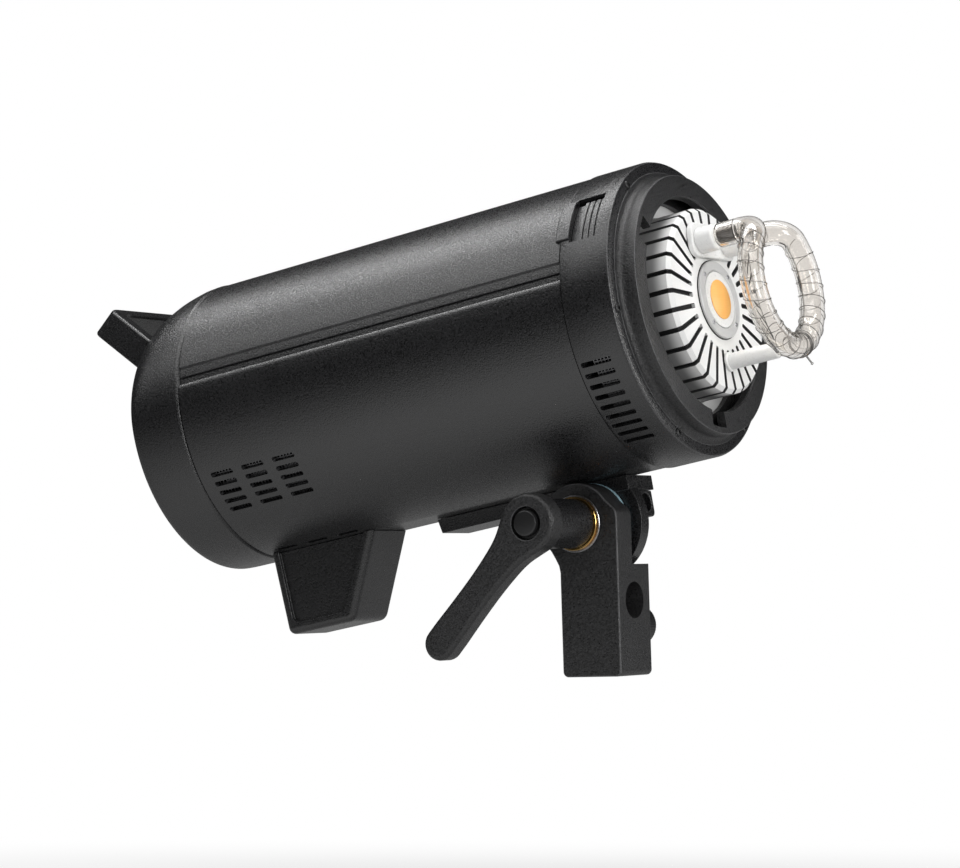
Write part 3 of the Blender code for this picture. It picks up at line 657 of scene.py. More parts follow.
def blend(tree, factor, first, second, way="MIX"):
    inputs = {"Factor": factor, 6: first, 7: second}
    return node(tree, "ShaderNodeMix", inputs, data_type="RGBA", blend_type=way).outputs[2]


def vector_node(tree, operation, *values):
    return node(tree, "ShaderNodeVectorMath", dict(enumerate(values)), operation=operation)


def mix_shader(tree, factor, first, second):
    return node(tree, "ShaderNodeMixShader", {"Fac": factor, 1: first, 2: second}).outputs[0]


def bump_node(tree, strength, distance, height):
    inputs = {"Strength": strength, "Distance": distance, "Height": height}
    return node(tree, "ShaderNodeBump", inputs).outputs["Normal"]


def shader_group(name, inputs, outputs):
    group, first, last = new_group(name, "ShaderNodeTree", inputs, outputs)
    return group, first.outputs, last


def grain_group():
    """Sprayed or moulded grain: fine pips over a slower swell."""
    group, given, last = shader_group(
        "fine_grain",
        (("Pips per metre", "Float", 1500.0), ("Swell", "Float", 0.1)),
        (("Height", "Float"), ("Pips", "Float")))
    coords = here(group)
    pips = noise(group, coords, given["Pips per metre"], 2.0, 0.6)
    slow = noise(group, coords, product(group, given["Pips per metre"], 0.3), 1.0, 0.5)
    height = math_node(group, "ADD", pips, product(group, slow, given["Swell"]))
    fill(group, last, {"Height": height, "Pips": pips})


def tone_group():
    """Change of tone and gloss over a surface, mostly with its grain."""
    group, given, last = shader_group(
        "tone_change",
        (("Colour", "Color", GREY), ("Light", "Float", 1.3), ("Dark", "Float", 0.8),
         ("Gloss low", "Float", 0.35), ("Gloss high", "Float", 0.5), ("Pips", "Float", 0.5)),
        (("Colour", "Color"), ("Roughness", "Float")))
    slow = product(group, noise(group, here(group), SLOW_PER_M, 4.0, 0.6), SLOW_SHARE)
    mixed = math_node(group, "ADD", slow, product(group, given["Pips"], 1.0 - SLOW_SHARE))
    level = spread(group, mixed, given["Dark"], given["Light"])
    shaded = node(group, "ShaderNodeVectorMath", {0: given["Colour"], "Scale": level}, operation="SCALE")
    rough = spread(group, mixed, given["Gloss low"], given["Gloss high"])
    fill(group, last, {"Colour": shaded.outputs[0], "Roughness": rough})


def dust_group():
    """Thin dust that lies where a surface faces up."""
    group, given, last = shader_group(
        "settled_dust", (("Colour", "Color", GREY), ("Amount", "Float", 0.05)), (("Colour", "Color"),))
    normal = node(group, "ShaderNodeNewGeometry").outputs["Normal"]
    parts = node(group, "ShaderNodeSeparateXYZ", {0: normal})
    facing = math_node(group, "MAXIMUM", parts.outputs["Z"], 0.0)
    specks = spread(group, noise(group, here(group), SPECKS_PER_M, 5.0, 0.7), 0.0, 1.0)
    amount = product(group, facing, specks, given["Amount"])
    fill(group, last, {"Colour": blend(group, amount, given["Colour"], DUST)})


def rub_and_highlight_group():
    """Paint paler along outer edges, in patches: rubbed paint, and a painted highlight on the edges."""
    group, given, last = shader_group(
        "edge_wear",
        (("Colour", "Color", GREY), ("Rubbed", "Color", RUB_AND_HIGHLIGHT_GREY), ("Amount", "Float", 0.5)),
        (("Colour", "Color"),))
    marks = node(group, "ShaderNodeAttribute", attribute_name="rub_and_highlight_mask").outputs["Fac"]
    patches = spread(group, noise(group, here(group), RUB_AND_HIGHLIGHT_PER_M, 5.0, 0.7), 0.25, 1.0)
    amount = product(group, marks, patches, given["Amount"])
    fill(group, last, {"Colour": blend(group, amount, given["Colour"], given["Rubbed"])})


def new_material(name):
    material = bpy.data.materials.new(name)
    material.use_nodes = True
    return material, material.node_tree, material.node_tree.nodes["Principled BSDF"]


def finish(name, colour, rough, pips, depth, tones, gloss, dust, rub_and_highlight=0.0, **sockets):
    """Material from the shared groups; sockets are plain values of the shader."""
    material, tree, shader = new_material(name)

    def shared(label, inputs):
        return node(tree, "ShaderNodeGroup", inputs, node_tree=tree_of(label)).outputs

    grain = shared("fine_grain", {"Pips per metre": pips})
    tone = shared("tone_change", {
        "Colour": (*colour, 1.0), "Dark": tones[0], "Light": tones[1], "Pips": grain["Pips"],
        "Gloss low": max(rough - gloss, 0.02), "Gloss high": min(rough + gloss, 1.0)})
    tint = tone["Colour"]
    if dust > 0:
        tint = shared("settled_dust", {"Colour": tint, "Amount": dust})["Colour"]
    # Edges painted paler: rubbed paint and a painted highlight
    if rub_and_highlight > 0:
        tint = shared("edge_wear", {"Colour": tint, "Amount": rub_and_highlight})["Colour"]
    normal = bump_node(tree, BUMP, depth * MM, grain["Height"])
    fill(tree, shader, {"Base Color": tint, "Roughness": tone["Roughness"], "Normal": normal})
    fill(tree, shader, {label.replace("_", " "): value for label, value in sockets.items()})
    return material


# Dark grey put into the glass's tint at grazing angles: a painted reflection of dark surroundings
GLASS_RIM_DARK_REFLECTION = (0.3, 0.29, 0.28, 1.0)
GLASS_SHADOW = (0.93, 0.93, 0.92, 1.0)


def glass_finish(colour):
    """Clear tube glass with painted dark reflections at its rims, that lets light through to what is behind
    it.
    """
    material, tree, shader = new_material("tube_glass")
    facing = node(tree, "ShaderNodeLayerWeight", {"Blend": 0.5}).outputs["Facing"]
    ripple = noise(tree, here(tree), 160.0, 2.0, 0.5)
    fill(tree, shader, {
        # Painted reflection: the tint goes dark grey towards the rims
        "Base Color": blend(tree, ramp(tree, facing, 0.55, 0.97), (*colour, 1.0), GLASS_RIM_DARK_REFLECTION),
        "Transmission Weight": 1.0,
        "IOR": 1.46,
        "Roughness": spread(tree, ripple, 0.0, 0.02),
        "Normal": bump_node(tree, 0.12, 0.6 * MM, ripple)})
    clear = node(tree, "ShaderNodeBsdfTransparent", {"Color": GLASS_SHADOW})
    shadow = node(tree, "ShaderNodeLightPath").outputs["Is Shadow Ray"]
    mixed = mix_shader(tree, shadow, shader.outputs[0], clear.outputs[0])
    fill(tree, tree.nodes["Material Output"], {"Surface": mixed})
    return material


def opened(material):
    """A finish's tree, its shader and the colour that goes into it."""
    shader = material.node_tree.nodes["Principled BSDF"]
    return material.node_tree, shader, shader.inputs["Base Color"].links[0].from_socket


def lamp_finish(colour):
    """Gel over lamp chips: a pale amber disc with a faint lattice of dots."""
    material = finish("lamp_gel", colour, 0.35, 2600.0, 0.01, (0.94, 1.05), 0.05, 0.0)
    tree, shader, tint = opened(material)
    dots = node(tree, "ShaderNodeTexVoronoi", {"Vector": here(tree), "Scale": 900.0, "Randomness": 0.15})
    factor = spread(tree, dots.outputs["Distance"], 0.0, 0.22)
    fill(tree, shader, {"Base Color": blend(tree, factor, tint, (1.0, 0.72, 0.35, 1.0), "MULTIPLY")})
    return material


# Painted shade: grey down the drum's side and near-black on its slot walls, where shade falls
DRUM_SIDE_SHADE = (0.24, 0.24, 0.24, 1.0)
SLOT_WALL_SHADE = (0.05, 0.05, 0.05, 1.0)


def shaded_drum_white_finish(colour):
    """White coat with painted shade: darker down the drum's side and darker still on the walls of its slots.
    """
    material = finish("white_sprayed", colour, 0.42, 2400.0, 0.012, (0.96, 1.03), 0.05, 0.0)
    tree, shader, tint = opened(material)
    coords = here(tree)
    axis = HEAD.to_3x3() @ Vector((1.0, 0.0, 0.0))
    centre = HEAD @ Vector((DRUM_FACE * MM, 0.0, 0.0))
    face = centre.dot(axis)
    along = vector_node(tree, "DOT_PRODUCT", coords, axis).outputs["Value"]
    # Painted shade down the drum's side, growing away from its face
    side_shade = ramp(tree, along, face - 9.0 * MM, face - 1.9 * MM, way="SMOOTHSTEP")
    outward = vector_node(tree, "SUBTRACT", coords, centre).outputs[0]
    around = vector_node(tree, "CROSS_PRODUCT", axis, outward).outputs[0]
    unit = vector_node(tree, "NORMALIZE", around).outputs[0]
    normal = node(tree, "ShaderNodeTexCoord").outputs["Normal"]
    turned_by = vector_node(tree, "DOT_PRODUCT", normal, unit).outputs["Value"]
    # Painted shade on the slot walls, by how far a surface turns round the drum's axis
    wall = ramp(tree, math_node(tree, "ABSOLUTE", turned_by), 0.5, 0.85)
    fill(tree, shader, {"Base Color": blend(tree, wall, blend(tree, side_shade, DRUM_SIDE_SHADE, tint), SLOT_WALL_SHADE)})
    return material


LOOKS = {}
BLACK_GRAIN = (1500.0, 0.2, (0.2, 2.4), 0.09, 0.006, 0.35)
METAL = {"Metallic": 1.0}
SHEEN = {"Specular_IOR_Level": 0.7}

# Key, name, colour or its setting, roughness, then pips per metre, grain depth in mm,
# darkest and lightest tone, spread of roughness, dust, paler edges (rubbed paint and painted highlight), and
# the shader's own values
FINISHES = (
    ("paint", "body_paint", "paint", 0.29, BLACK_GRAIN, SHEEN),
    ("moulded", "moulded_black", "paint", 0.3, BLACK_GRAIN, SHEEN),
    ("coarse", "coarse_paint", "coarse", 0.36, (1250.0, 0.42, (0.2, 2.6), 0.1, 0.008, 0.6), {}),
    ("satin", "satin_black", "satin", 0.38, (2200.0, 0.015, (0.85, 1.2), 0.05, 0.01), {}),
    ("rubber", "key_rubber", (0.05, 0.05, 0.052), 0.6, (1800.0, 0.03, (0.85, 1.2), 0.06, 0.02), {}),
    # Near-black of inner pieces; also the painted shade of the drum's core and of the line round the lamp ring
    ("inside", "inside_black", (0.006, 0.006, 0.006), 0.7, (1200.0, 0.03, (0.8, 1.2), 0.05, 0.0), {}),
    ("window", "window_gloss", (0.006, 0.007, 0.01), 0.06, (900.0, 0.0005, (0.95, 1.05), 0.02, 0.0), {}),
    ("white", "white_coat", "white", 0.42, (2400.0, 0.012, (0.96, 1.03), 0.05, 0.0), {}),
    ("ceramic", "ceramic_white", "white", 0.3, (1200.0, 0.006, (0.97, 1.02), 0.05, 0.0), {}),
    ("plastic", "lamp_ring_white", (0.58, 0.58, 0.58), 0.32, (2000.0, 0.008, (0.97, 1.02), 0.05, 0.0), {}),
    ("steel", "turned_steel", (0.55, 0.55, 0.57), 0.3, (3000.0, 0.006, (0.85, 1.1), 0.08, 0.0), METAL),
    ("mesh", "mesh_wire", (0.16, 0.16, 0.165), 0.4, (1500.0, 0.01, (0.5, 1.4), 0.1, 0.0), METAL),
    ("chrome", "dark_chrome", (0.13, 0.125, 0.12), 0.22, (900.0, 0.004, (0.8, 1.1), 0.05, 0.0), METAL),
    ("wire", "bare_wire", (0.2, 0.19, 0.18), 0.35, (2500.0, 0.004, (0.8, 1.1), 0.05, 0.0), METAL),
    ("brass", "bright_brass", "brass", 0.2, (2200.0, 0.001, (0.85, 1.1), 0.04, 0.0), METAL),
    ("disc", "friction_blue", "disc", 0.5, (1600.0, 0.02, (0.9, 1.08), 0.06, 0.01), {}),
    ("board", "board_green", (0.02, 0.11, 0.05), 0.5, (700.0, 0.01, (0.8, 1.2), 0.08, 0.03), {}),
    ("can", "can_sleeve", (0.02, 0.03, 0.09), 0.35, (1200.0, 0.01, (0.85, 1.15), 0.05, 0.02), {}),
)


def make_finishes(colours):
    """Every finish of the strobe, by its key."""
    for make in (grain_group, tone_group, dust_group, rub_and_highlight_group):
        make()
    for key, name, colour, rough, grain, sockets in FINISHES:
        tint = getattr(colours, colour) if isinstance(colour, str) else colour
        LOOKS[key] = finish(name, tint, rough, *grain, **sockets)
    LOOKS["drum_white_shaded"] = shaded_drum_white_finish(colours.white)
    LOOKS["lamp"] = lamp_finish(colours.lamp)
    LOOKS["glass"] = glass_finish(colours.glass)


# Settings ----------------------------------------------------------------

def colour_prop(label, words, value):
    return FloatVectorProperty(
        name=label, description=words, default=value, size=3, min=0.0, max=1.0, subtype="COLOR")


def length_prop(label, words, value):
    return FloatProperty(name=label, description=words, default=value, unit="LENGTH")


def count_prop(label, words, value, least=1):
    return IntProperty(name=label, description=words, default=value, min=least)


class StrobeColours(bpy.types.PropertyGroup):
    """Colours of the strobe's finishes"""
    paint: colour_prop("Body paint", "Textured black of the body", (0.0095, 0.0095, 0.0102))
    coarse: colour_prop("Coarse paint", "Textured black of the ring and bracket", (0.016, 0.016, 0.0165))
    satin: colour_prop("Satin black", "Smooth black of knobs and slider", (0.012, 0.012, 0.0125))
    white: colour_prop("White coat", "White of the finned drum and the ceramics", (0.84, 0.84, 0.83))
    lamp: colour_prop("Lamp gel", "Amber of the modelling lamp", (1.0, 0.53, 0.16))
    glass: colour_prop("Tube glass", "Tint of the flash tube", (0.84, 0.815, 0.785))
    brass: colour_prop("Brass", "Washer under the clamp sleeve", (0.72, 0.46, 0.16))
    disc: colour_prop("Friction disc", "Pale blue disc in the tilt joint", (0.46, 0.7, 0.8))


class StrobeSizes(bpy.types.PropertyGroup):
    """Sizes and counts that can be changed"""
    edge: length_prop("Edge rounding", "Rounding of moulded edges", 0.35 * MM)
    flange_screws: count_prop("Flange screws", "Screws round the front flange", 6)
    ring_screws: count_prop("Lamp ring screws", "Screws of the lamp's ring", 4)
    drum_slots: count_prop("Drum slots", "Cooling slots round the drum", 30, 3)
    dial_ribs: count_prop("Dial ribs", "Ribs round the control dial", 40, 3)
    wire_turns: count_prop("Wire turns", "Turns of the trigger wire", 18)
    wire: length_prop("Wire radius", "Radius of the trigger wire", 0.16 * MM)
    mesh_pitch: length_prop("Mesh pitch", "Spacing of the vent mesh", 1.7 * MM)
    floor: length_prop("Floor", "Half width of the floor", 9.0)


def settings(context):
    return context.scene.strobe_sizes, context.scene.strobe_colours


def tree_of(name):
    return bpy.data.node_groups[name]


# Operators ---------------------------------------------------------------

class STROBE_OT_finishes(bpy.types.Operator):
    """Make the finishes and the node trees"""
    bl_idname = "strobe.finishes"
    bl_label = "Finishes"

    def execute(self, context):
        make_finishes(settings(context)[1])
        for make in (ring_tree, row_tree, wire_tree):
            make()
        return {"FINISHED"}


# Seam between the shells, as depths below the skin: outer and inner face of the upper
# shell's tongue, then the lower shell's ledge; its rounded lip in depths and degrees
LEDGE = (0.9, 1.6, 1.9)
LIP_ROUND = ((0.2, 1.15), (0.6, 0.55), (1.05, 0.18), (1.5, 0.0))
# Length and width of the shells' vents, and the vents' mesh wire
VENT_SLOT = (12.0, 2.3)
MESH_WIRE = (0.5, 0.4)


class STROBE_OT_shells(bpy.types.Operator):
    """Body shells with their stepped seam, vents and the mesh behind them"""
    bl_idname = "strobe.shells"
    bl_label = "Body shells"

    def execute(self, context):
        sizes, _ = settings(context)
        back, front = CAP_SEAM + FIT, COVER_SEAM - FIT
        line = arc(BODY_R, SEAM_TOP, 180 - SEAM_TOP, 140)
        upper, lower = BODY_R - LEDGE[0], BODY_R - LEDGE[1]
        line += arc(upper, 180 - SEAM_TOP, 180 - SEAM_MID, 3) + arc(lower, 180 - SEAM_MID, 180 - SEAM_TOP, 3)
        line += arc(BODY_IN, 180 - SEAM_TOP, SEAM_TOP, 70)
        line += arc(lower, SEAM_TOP, SEAM_MID, 3) + arc(upper, SEAM_MID, SEAM_TOP, 3)
        moulded("upper_shell_skin", prism(line, back, front, "X"), (sizes.edge / MM,), "paint", "upper_shell")

        lip = SEAM_TOP - 0.5
        line = flat(arc(BODY_R, SEAM_LOW - 1.8, -180 - SEAM_LOW + 1.8, 200), FLAT_Z)
        line += [polar(BODY_R - drop, -180 - SEAM_LOW + back_off) for drop, back_off in LIP_ROUND]
        line += arc(BODY_R - LEDGE[2], -180 - SEAM_LOW, -180 - lip, 3)
        line += arc(BODY_IN, -180 - lip, -180 - SEAM_LOW, 3)
        line += arc(BODY_IN, -180 - SEAM_LOW + 3.4, SEAM_LOW - 3.4, 120)
        line += arc(BODY_IN, SEAM_LOW, lip, 3)
        line += arc(BODY_R - LEDGE[2], lip, SEAM_LOW, 3)
        line += [polar(BODY_R - drop, SEAM_LOW - back_off) for drop, back_off in reversed(LIP_ROUND)]
        vents = [slot_tool(x, side, BODY_R, *VENT_SLOT) for x in VENT_X for side in both_sides(VENT_ANGLES)]
        moulded("lower_shell_skin", prism(line, back, front, "X"), (0.28, 2, 30.0), "paint", "lower_shell",
                cuts=[join(vents)])

        self.mesh("rear_vent_mesh", sizes, (-160.0, -109.0), (-23.0, -78.0), BODY_IN - 0.2)
        self.mesh("front_vent_mesh", sizes, (47.0, 60.0), (-17.0, -60.0), COVER_R - 3.2)
        return {"FINISHED"}

    def mesh(self, name, sizes, reach, angles, radius):
        """Wire cloth on both sides of the head."""
        pitch = sizes.mesh_pitch / MM
        start, end = reach
        length = end - start
        step = math.degrees(pitch / radius)
        span = abs(angles[1] - angles[0])
        for label, low in (("right", angles[1]), ("left", 180 - angles[0])):
            bar = piece_of(name + "_bars_" + label, brick(((start + end) / 2, 0.0, 0.0), (length, *MESH_WIRE)))
            set_round(bar, "mesh", int(span / step) + 1, radius, low, step)
            dress(bar, "mesh", slot="inner_tray")
            hoop = box_corners(start - 0.25, start + 0.25, radius - 0.5, radius - 0.1)
            hoops = piece_of(name + "_hoops_" + label, sector(hoop, low, low + span, 18))
            grow(hoops, tree_of("set_in_row"), count=int(length / pitch) + 1,
                 offset=(sizes.mesh_pitch, 0.0, 0.0), material=LOOKS["mesh"])
            dress(hoops, "mesh", slot="inner_tray")


# Rear cap: lip at the seam, and its shoulder below and at the top of the head
CAP_LIP = [(0.0, -1.7), (-0.15, -1.35), (-1.15, -0.3), (-1.7, 0.0)]
CAP_DOME = [(-176.0, CAP_R), (-186.5, CAP_R - 0.1), (-189.6, 65.0), (-191.4, 63.7), (-192.8, 61.2),
            (-194.7, 57.0), (REAR_FACE, 51.5)]
CAP_CROWN = [(-168.9, 65.2), (-176.9, 63.6), (-183.7, 61.4), (-189.6, 58.7), (-194.0, 55.7),
             (-196.5, 52.9), (REAR_FACE, 51.5)]


def crowned(first, second):
    """First shape below and at the sides, going over to the second at the top of the head."""
    points = []
    for low, high in zip(first[0], second[0]):
        reach = math.hypot(low[1], low[2])
        part = min(max(low[2] / reach, 0.0), 1.0) if reach > 1e-6 else 0.0
        points.append(Vector(low).lerp(Vector(high), part * part * (3.0 - 2.0 * part)))
    return points, first[1]


class STROBE_OT_rear_end(bpy.types.Operator):
    """Rear cap and the control panel in it"""
    bl_idname = "strobe.rear_end"
    bl_label = "Rear end"

    def execute(self, context):
        shapes = []
        for dome, wall in ((CAP_DOME, BODY_R - 2.4), (CAP_CROWN, BODY_R - 5.8)):
            line = shifted(CAP_LIP, CAP_SEAM, CAP_R) + smooth_line(dome, 6)
            line += [(REAR_FACE - 0.1, 50.6), (REAR_FACE, 49.4), (REAR_FACE + 0.3, PANEL_R + 0.6)]
            line += [(REAR_FACE + 0.8, PANEL_R + FIT), (PANEL_FRONT + FIT, PANEL_R + FIT)]
            line += [(PANEL_FRONT + FIT, 45.0), (PANEL_FRONT + 3.3, 45.0), (PANEL_FRONT + 3.3, 56.5)]
            line += [(REAR_FACE + 15.0, wall), (CAP_SEAM - 6.0, BODY_R - 2.4), (CAP_SEAM - 6.0, LIP_IN)]
            line += [(CAP_SEAM + 5.0, LIP_IN), (CAP_SEAM + 5.0, LIP_R), (CAP_SEAM, LIP_R)]
            shapes.append(lathe(line, 160))
        plain("rear_cap_skin", crowned(*shapes), 28.0, "moulded", "rear_cap")

        line = [(PANEL_BACK, 0), (PANEL_BACK, PANEL_R - 0.6), (PANEL_BACK + 0.6, PANEL_R)]
        line += [(PANEL_FRONT, PANEL_R), (PANEL_FRONT, 0)]
        panel = lathe(line, 128)
        behind, before = PANEL_BACK - 3.0, PANEL_FRONT + 3.0
        lines = [circle((y, BUTTON_Z), BUTTON_R + FIT, 40) for y in BUTTON_Y]
        lines += [circle(DIAL_AT, 3.3, 32), circle(JACK_AT, 3.9, 32)]
        for at, size in ((SWITCH_AT, SWITCH_SIZE), (INLET_AT, INLET_SIZE), (DISPLAY_AT, DISPLAY_SIZE)):
            lines.append(box_line(at, size, 1.5, FIT))
        holes = join([prism(line, behind, before, "X") for line in lines])
        moulded("rear_panel_skin", panel, (0.25, 2), "satin", "rear_panel", cuts=[holes])

        glass = prism(box_line(DISPLAY_AT, DISPLAY_SIZE), PANEL_BACK + 0.5, PANEL_FRONT, "X")
        moulded("display_glass", glass, (0.3, 2), "window", "display_window")
        rim = prism(box_line(DISPLAY_AT, DISPLAY_SIZE, 2.5, 2.2), PANEL_BACK - 0.9, PANEL_BACK + 0.3, "X")
        inner = prism(box_line(DISPLAY_AT, DISPLAY_SIZE, 1.5, 0.2), PANEL_BACK - 3.0, PANEL_BACK + 3.0, "X")
        moulded("display_rim", rim, (0.35, 2), "moulded", slot="rear_panel", cuts=[inner])

        screw = piece_of("panel_screws", screw_shape(1.9, 0.9, 0.9))
        set_round(screw, "steel", 4, 43.8, 45.0)
        place = ahead_of_head(PANEL_BACK) @ Matrix.Rotation(math.pi, 4, "Z")
        dress(screw, "chrome", slot="pivot_nut", place=place)
        return {"FINISHED"}


def screw_shape(radius, height, socket, sides=24):
    """Button head with a hexagon socket, standing along +X from x = 0."""
    points = []
    rings = []
    for rise, share in ((0.0, 1.0), (0.45, 1.0), (0.8, 0.86), (1.0, 0.62)):
        x, r = height * rise, radius * share
        rings.append(list(range(len(points), len(points) + sides)))
        points += [(x, u, v) for u, v in circle((0.0, 0.0), r, sides)]
    hexes = []
    for x in (height, height * 0.25):
        hexes.append(list(range(len(points), len(points) + sides)))
        for k in range(sides):
            turn = 2 * math.pi * k / sides
            local = (turn % (math.pi / 3)) - math.pi / 6
            r = socket * math.cos(math.pi / 6) / math.cos(local)
            points.append((x, r * math.cos(turn), r * math.sin(turn)))
    return points, [tuple(reversed(rings[0])), tuple(hexes[1])] + stitched(rings + hexes)


class STROBE_OT_controls(bpy.types.Operator):
    """Dial, buttons, switch, sockets on the control panel"""
    bl_idname = "strobe.controls"
    bl_label = "Controls"

    def execute(self, context):
        sizes, _ = settings(context)
        out = PANEL_BACK - 0.5
        line = [(CONTROL_FRONT, 0), (CONTROL_FRONT, 3.0), (out, 3.0), (out, DIAL_R - 0.9)]
        crown = ((-10.6, -1.1), (-11.4, -1.6), (-11.9, -2.6), (-11.6, -3.4))
        line += shifted(crown, PANEL_BACK, DIAL_R) + [(PANEL_BACK - 11.4, 0)]
        turned("dial_core", line, 64, "satin", "control_dial", body="dial", centre=DIAL_AT, limit=40.0)
        rib = piece_of("dial_ribs", prism(box_line((PANEL_BACK - 5.45, 0.0), (9.4, 0.7), 0.3), -0.8, 0.9, "Y"))
        rib.data.transform(Matrix.Rotation(math.radians(90.0), 4, "X"))
        set_round(rib, "satin", sizes.dial_ribs, DIAL_R - 0.95, 0.0)
        shade(rib, 40.0)
        place = HEAD @ Matrix.Translation((0.0, DIAL_AT[0] * MM, DIAL_AT[1] * MM))
        dress(rib, "satin", slot="control_dial", place=place, body="dial")
        outline = box_line((DIAL_AT[0], DIAL_AT[1] + 4.2), (1.0, 3.6), 0.45)
        mark = prism(outline, PANEL_BACK - 11.75, PANEL_BACK - 11.2, "X")
        plain("dial_mark", mark, 35.0, "plastic", slot="led_retainer", body="dial")

        for number, y in enumerate(BUTTON_Y, 1):
            line = [(CONTROL_FRONT, 0), (CONTROL_FRONT, BUTTON_R)]
            crown = ((-1.2, BUTTON_R), (-1.6, BUTTON_R - 0.25), (-1.8, BUTTON_R - 0.8), (-1.75, 2.0))
            line += smooth_line(shifted(crown, PANEL_BACK), 3)
            line.append((PANEL_BACK - 1.6, 0))
            name = "button_%d" % number
            turned("key_%d" % number, line, 40, "rubber", name, body=name, centre=(y, BUTTON_Z), limit=50.0)

        refined("rocker", "power_switch", 0.5, 3, "satin", "switch")

        socket = prism(box_line(INLET_AT, INLET_SIZE), PANEL_BACK - 0.6, PANEL_BACK + 22.0, "X")
        hollow = prism(box_line(INLET_AT, INLET_SIZE, 1.5, -2.0), PANEL_BACK - 2.0, PANEL_BACK + 18.0, "X")
        moulded("inlet_socket", socket, (0.4, 2), "satin", "power_inlet", cuts=[hollow])
        blades = [brick((PANEL_BACK + 13.0, INLET_AT[0] + dy, INLET_AT[1] + dz), (12.0, 2.0, 4.0))
                  for dy, dz in ((-7.0, -2.0), (0.0, 2.0), (7.0, -2.0))]
        moulded("inlet_blades", join(blades), (0.35, 2), "steel", slot="sync_jack")

        line = [(CONTROL_FRONT, 1.9), (CONTROL_FRONT, 3.6)]
        nut = ((-0.3, 3.6), (-0.3, 5.0), (-1.6, 5.0), (-2.0, 4.6), (-2.0, 2.4), (-1.6, 1.9))
        line += shifted(nut, PANEL_BACK)
        turned("jack_nut", line, 40, "steel", "sync_jack", centre=JACK_AT, limit=40.0)
        return {"FINISHED"}


class STROBE_OT_holds(bpy.types.Operator):
    """Carry handle at the rear and hand grip below"""
    bl_idname = "strobe.holds"
    bl_label = "Handle and grip"

    def execute(self, context):
        lean = math.radians(HANDLE_LEAN)
        along = Vector((-math.cos(lean), 0.0, math.sin(lean)))
        square_to = Vector((math.sin(lean), 0.0, math.cos(lean)))
        start = Vector((HANDLE_AT[0], 0.0, HANDLE_AT[1]))
        outside = [(44.5, -14.0), (33.0, 33.5), (-33.0, 33.5), (-44.5, -14.0)]
        inside = [(-37.0, -14.0), (-27.5, 26.5), (27.5, 26.5), (37.0, -14.0)]
        loop = [outside[0]] + rounded(outside, 7.0, 8)[9:27] + [outside[3], inside[0]]
        loop += rounded(inside, 5.0, 8)[9:27] + [inside[3]]
        points, faces = prism(loop, -HANDLE_BAND / 2, HANDLE_BAND / 2, "Z")
        across = Vector((0.0, 1.0, 0.0))
        lean_back = square_to - along * HANDLE_SLANT
        points = [start + across * p[0] + along * p[1] + lean_back * p[2] for p in points]
        shapes = []
        for dome in (CAP_DOME, CAP_CROWN):
            line = [(-150.0, 0), (-150.0, CAP_R + 0.1)] + shifted(smooth_line(dome, 6), -0.1, 0.1)
            shapes.append(lathe(line + [(REAR_FACE - 0.1, 0)], 160))
        machined("handle_band", (points, faces), (1.3, 4, 50.0), [crowned(*shapes)], None,
                 "moulded", "carry_handle")

        line = [(-161.6, -55.0), (-158.5, GRIP_Z), (-122.3, GRIP_Z), (-99.3, -55.0)]
        grip = prism(line, -GRIP_HALF, GRIP_HALF, "Y")
        low = GRIP_Z + 5.0
        recess = rounded([(-157.0, -58.0), (-154.6, low), (-126.0, low), (-106.0, -58.0)], 3.0)
        skin = flat(circle((0.0, 0.0), BODY_R + 0.1, 160), FLAT_Z + 0.1)
        cuts = (
            prism(recess, -GRIP_HALF - 5.0, -GRIP_HALF + 1.9, "Y"),
            prism(recess, GRIP_HALF - 1.9, GRIP_HALF + 5.0, "Y"),
            prism(skin, -175.0, -90.0, "X"))
        machined("grip_body", grip, (3.0, 5), cuts, (0.9, 3, 40.0), "moulded", "hand_grip")
        return {"FINISHED"}


# Front cover: middle, size and angles of the vents; radius and phase of the flange's screws
COVER_VENT_X = 49.6
COVER_SLOT = (14.6, 2.3)
COVER_VENTS = [-20.7 - 4.55 * number for number in range(9)]
FLANGE_SCREWS = (62.4, -3.2)


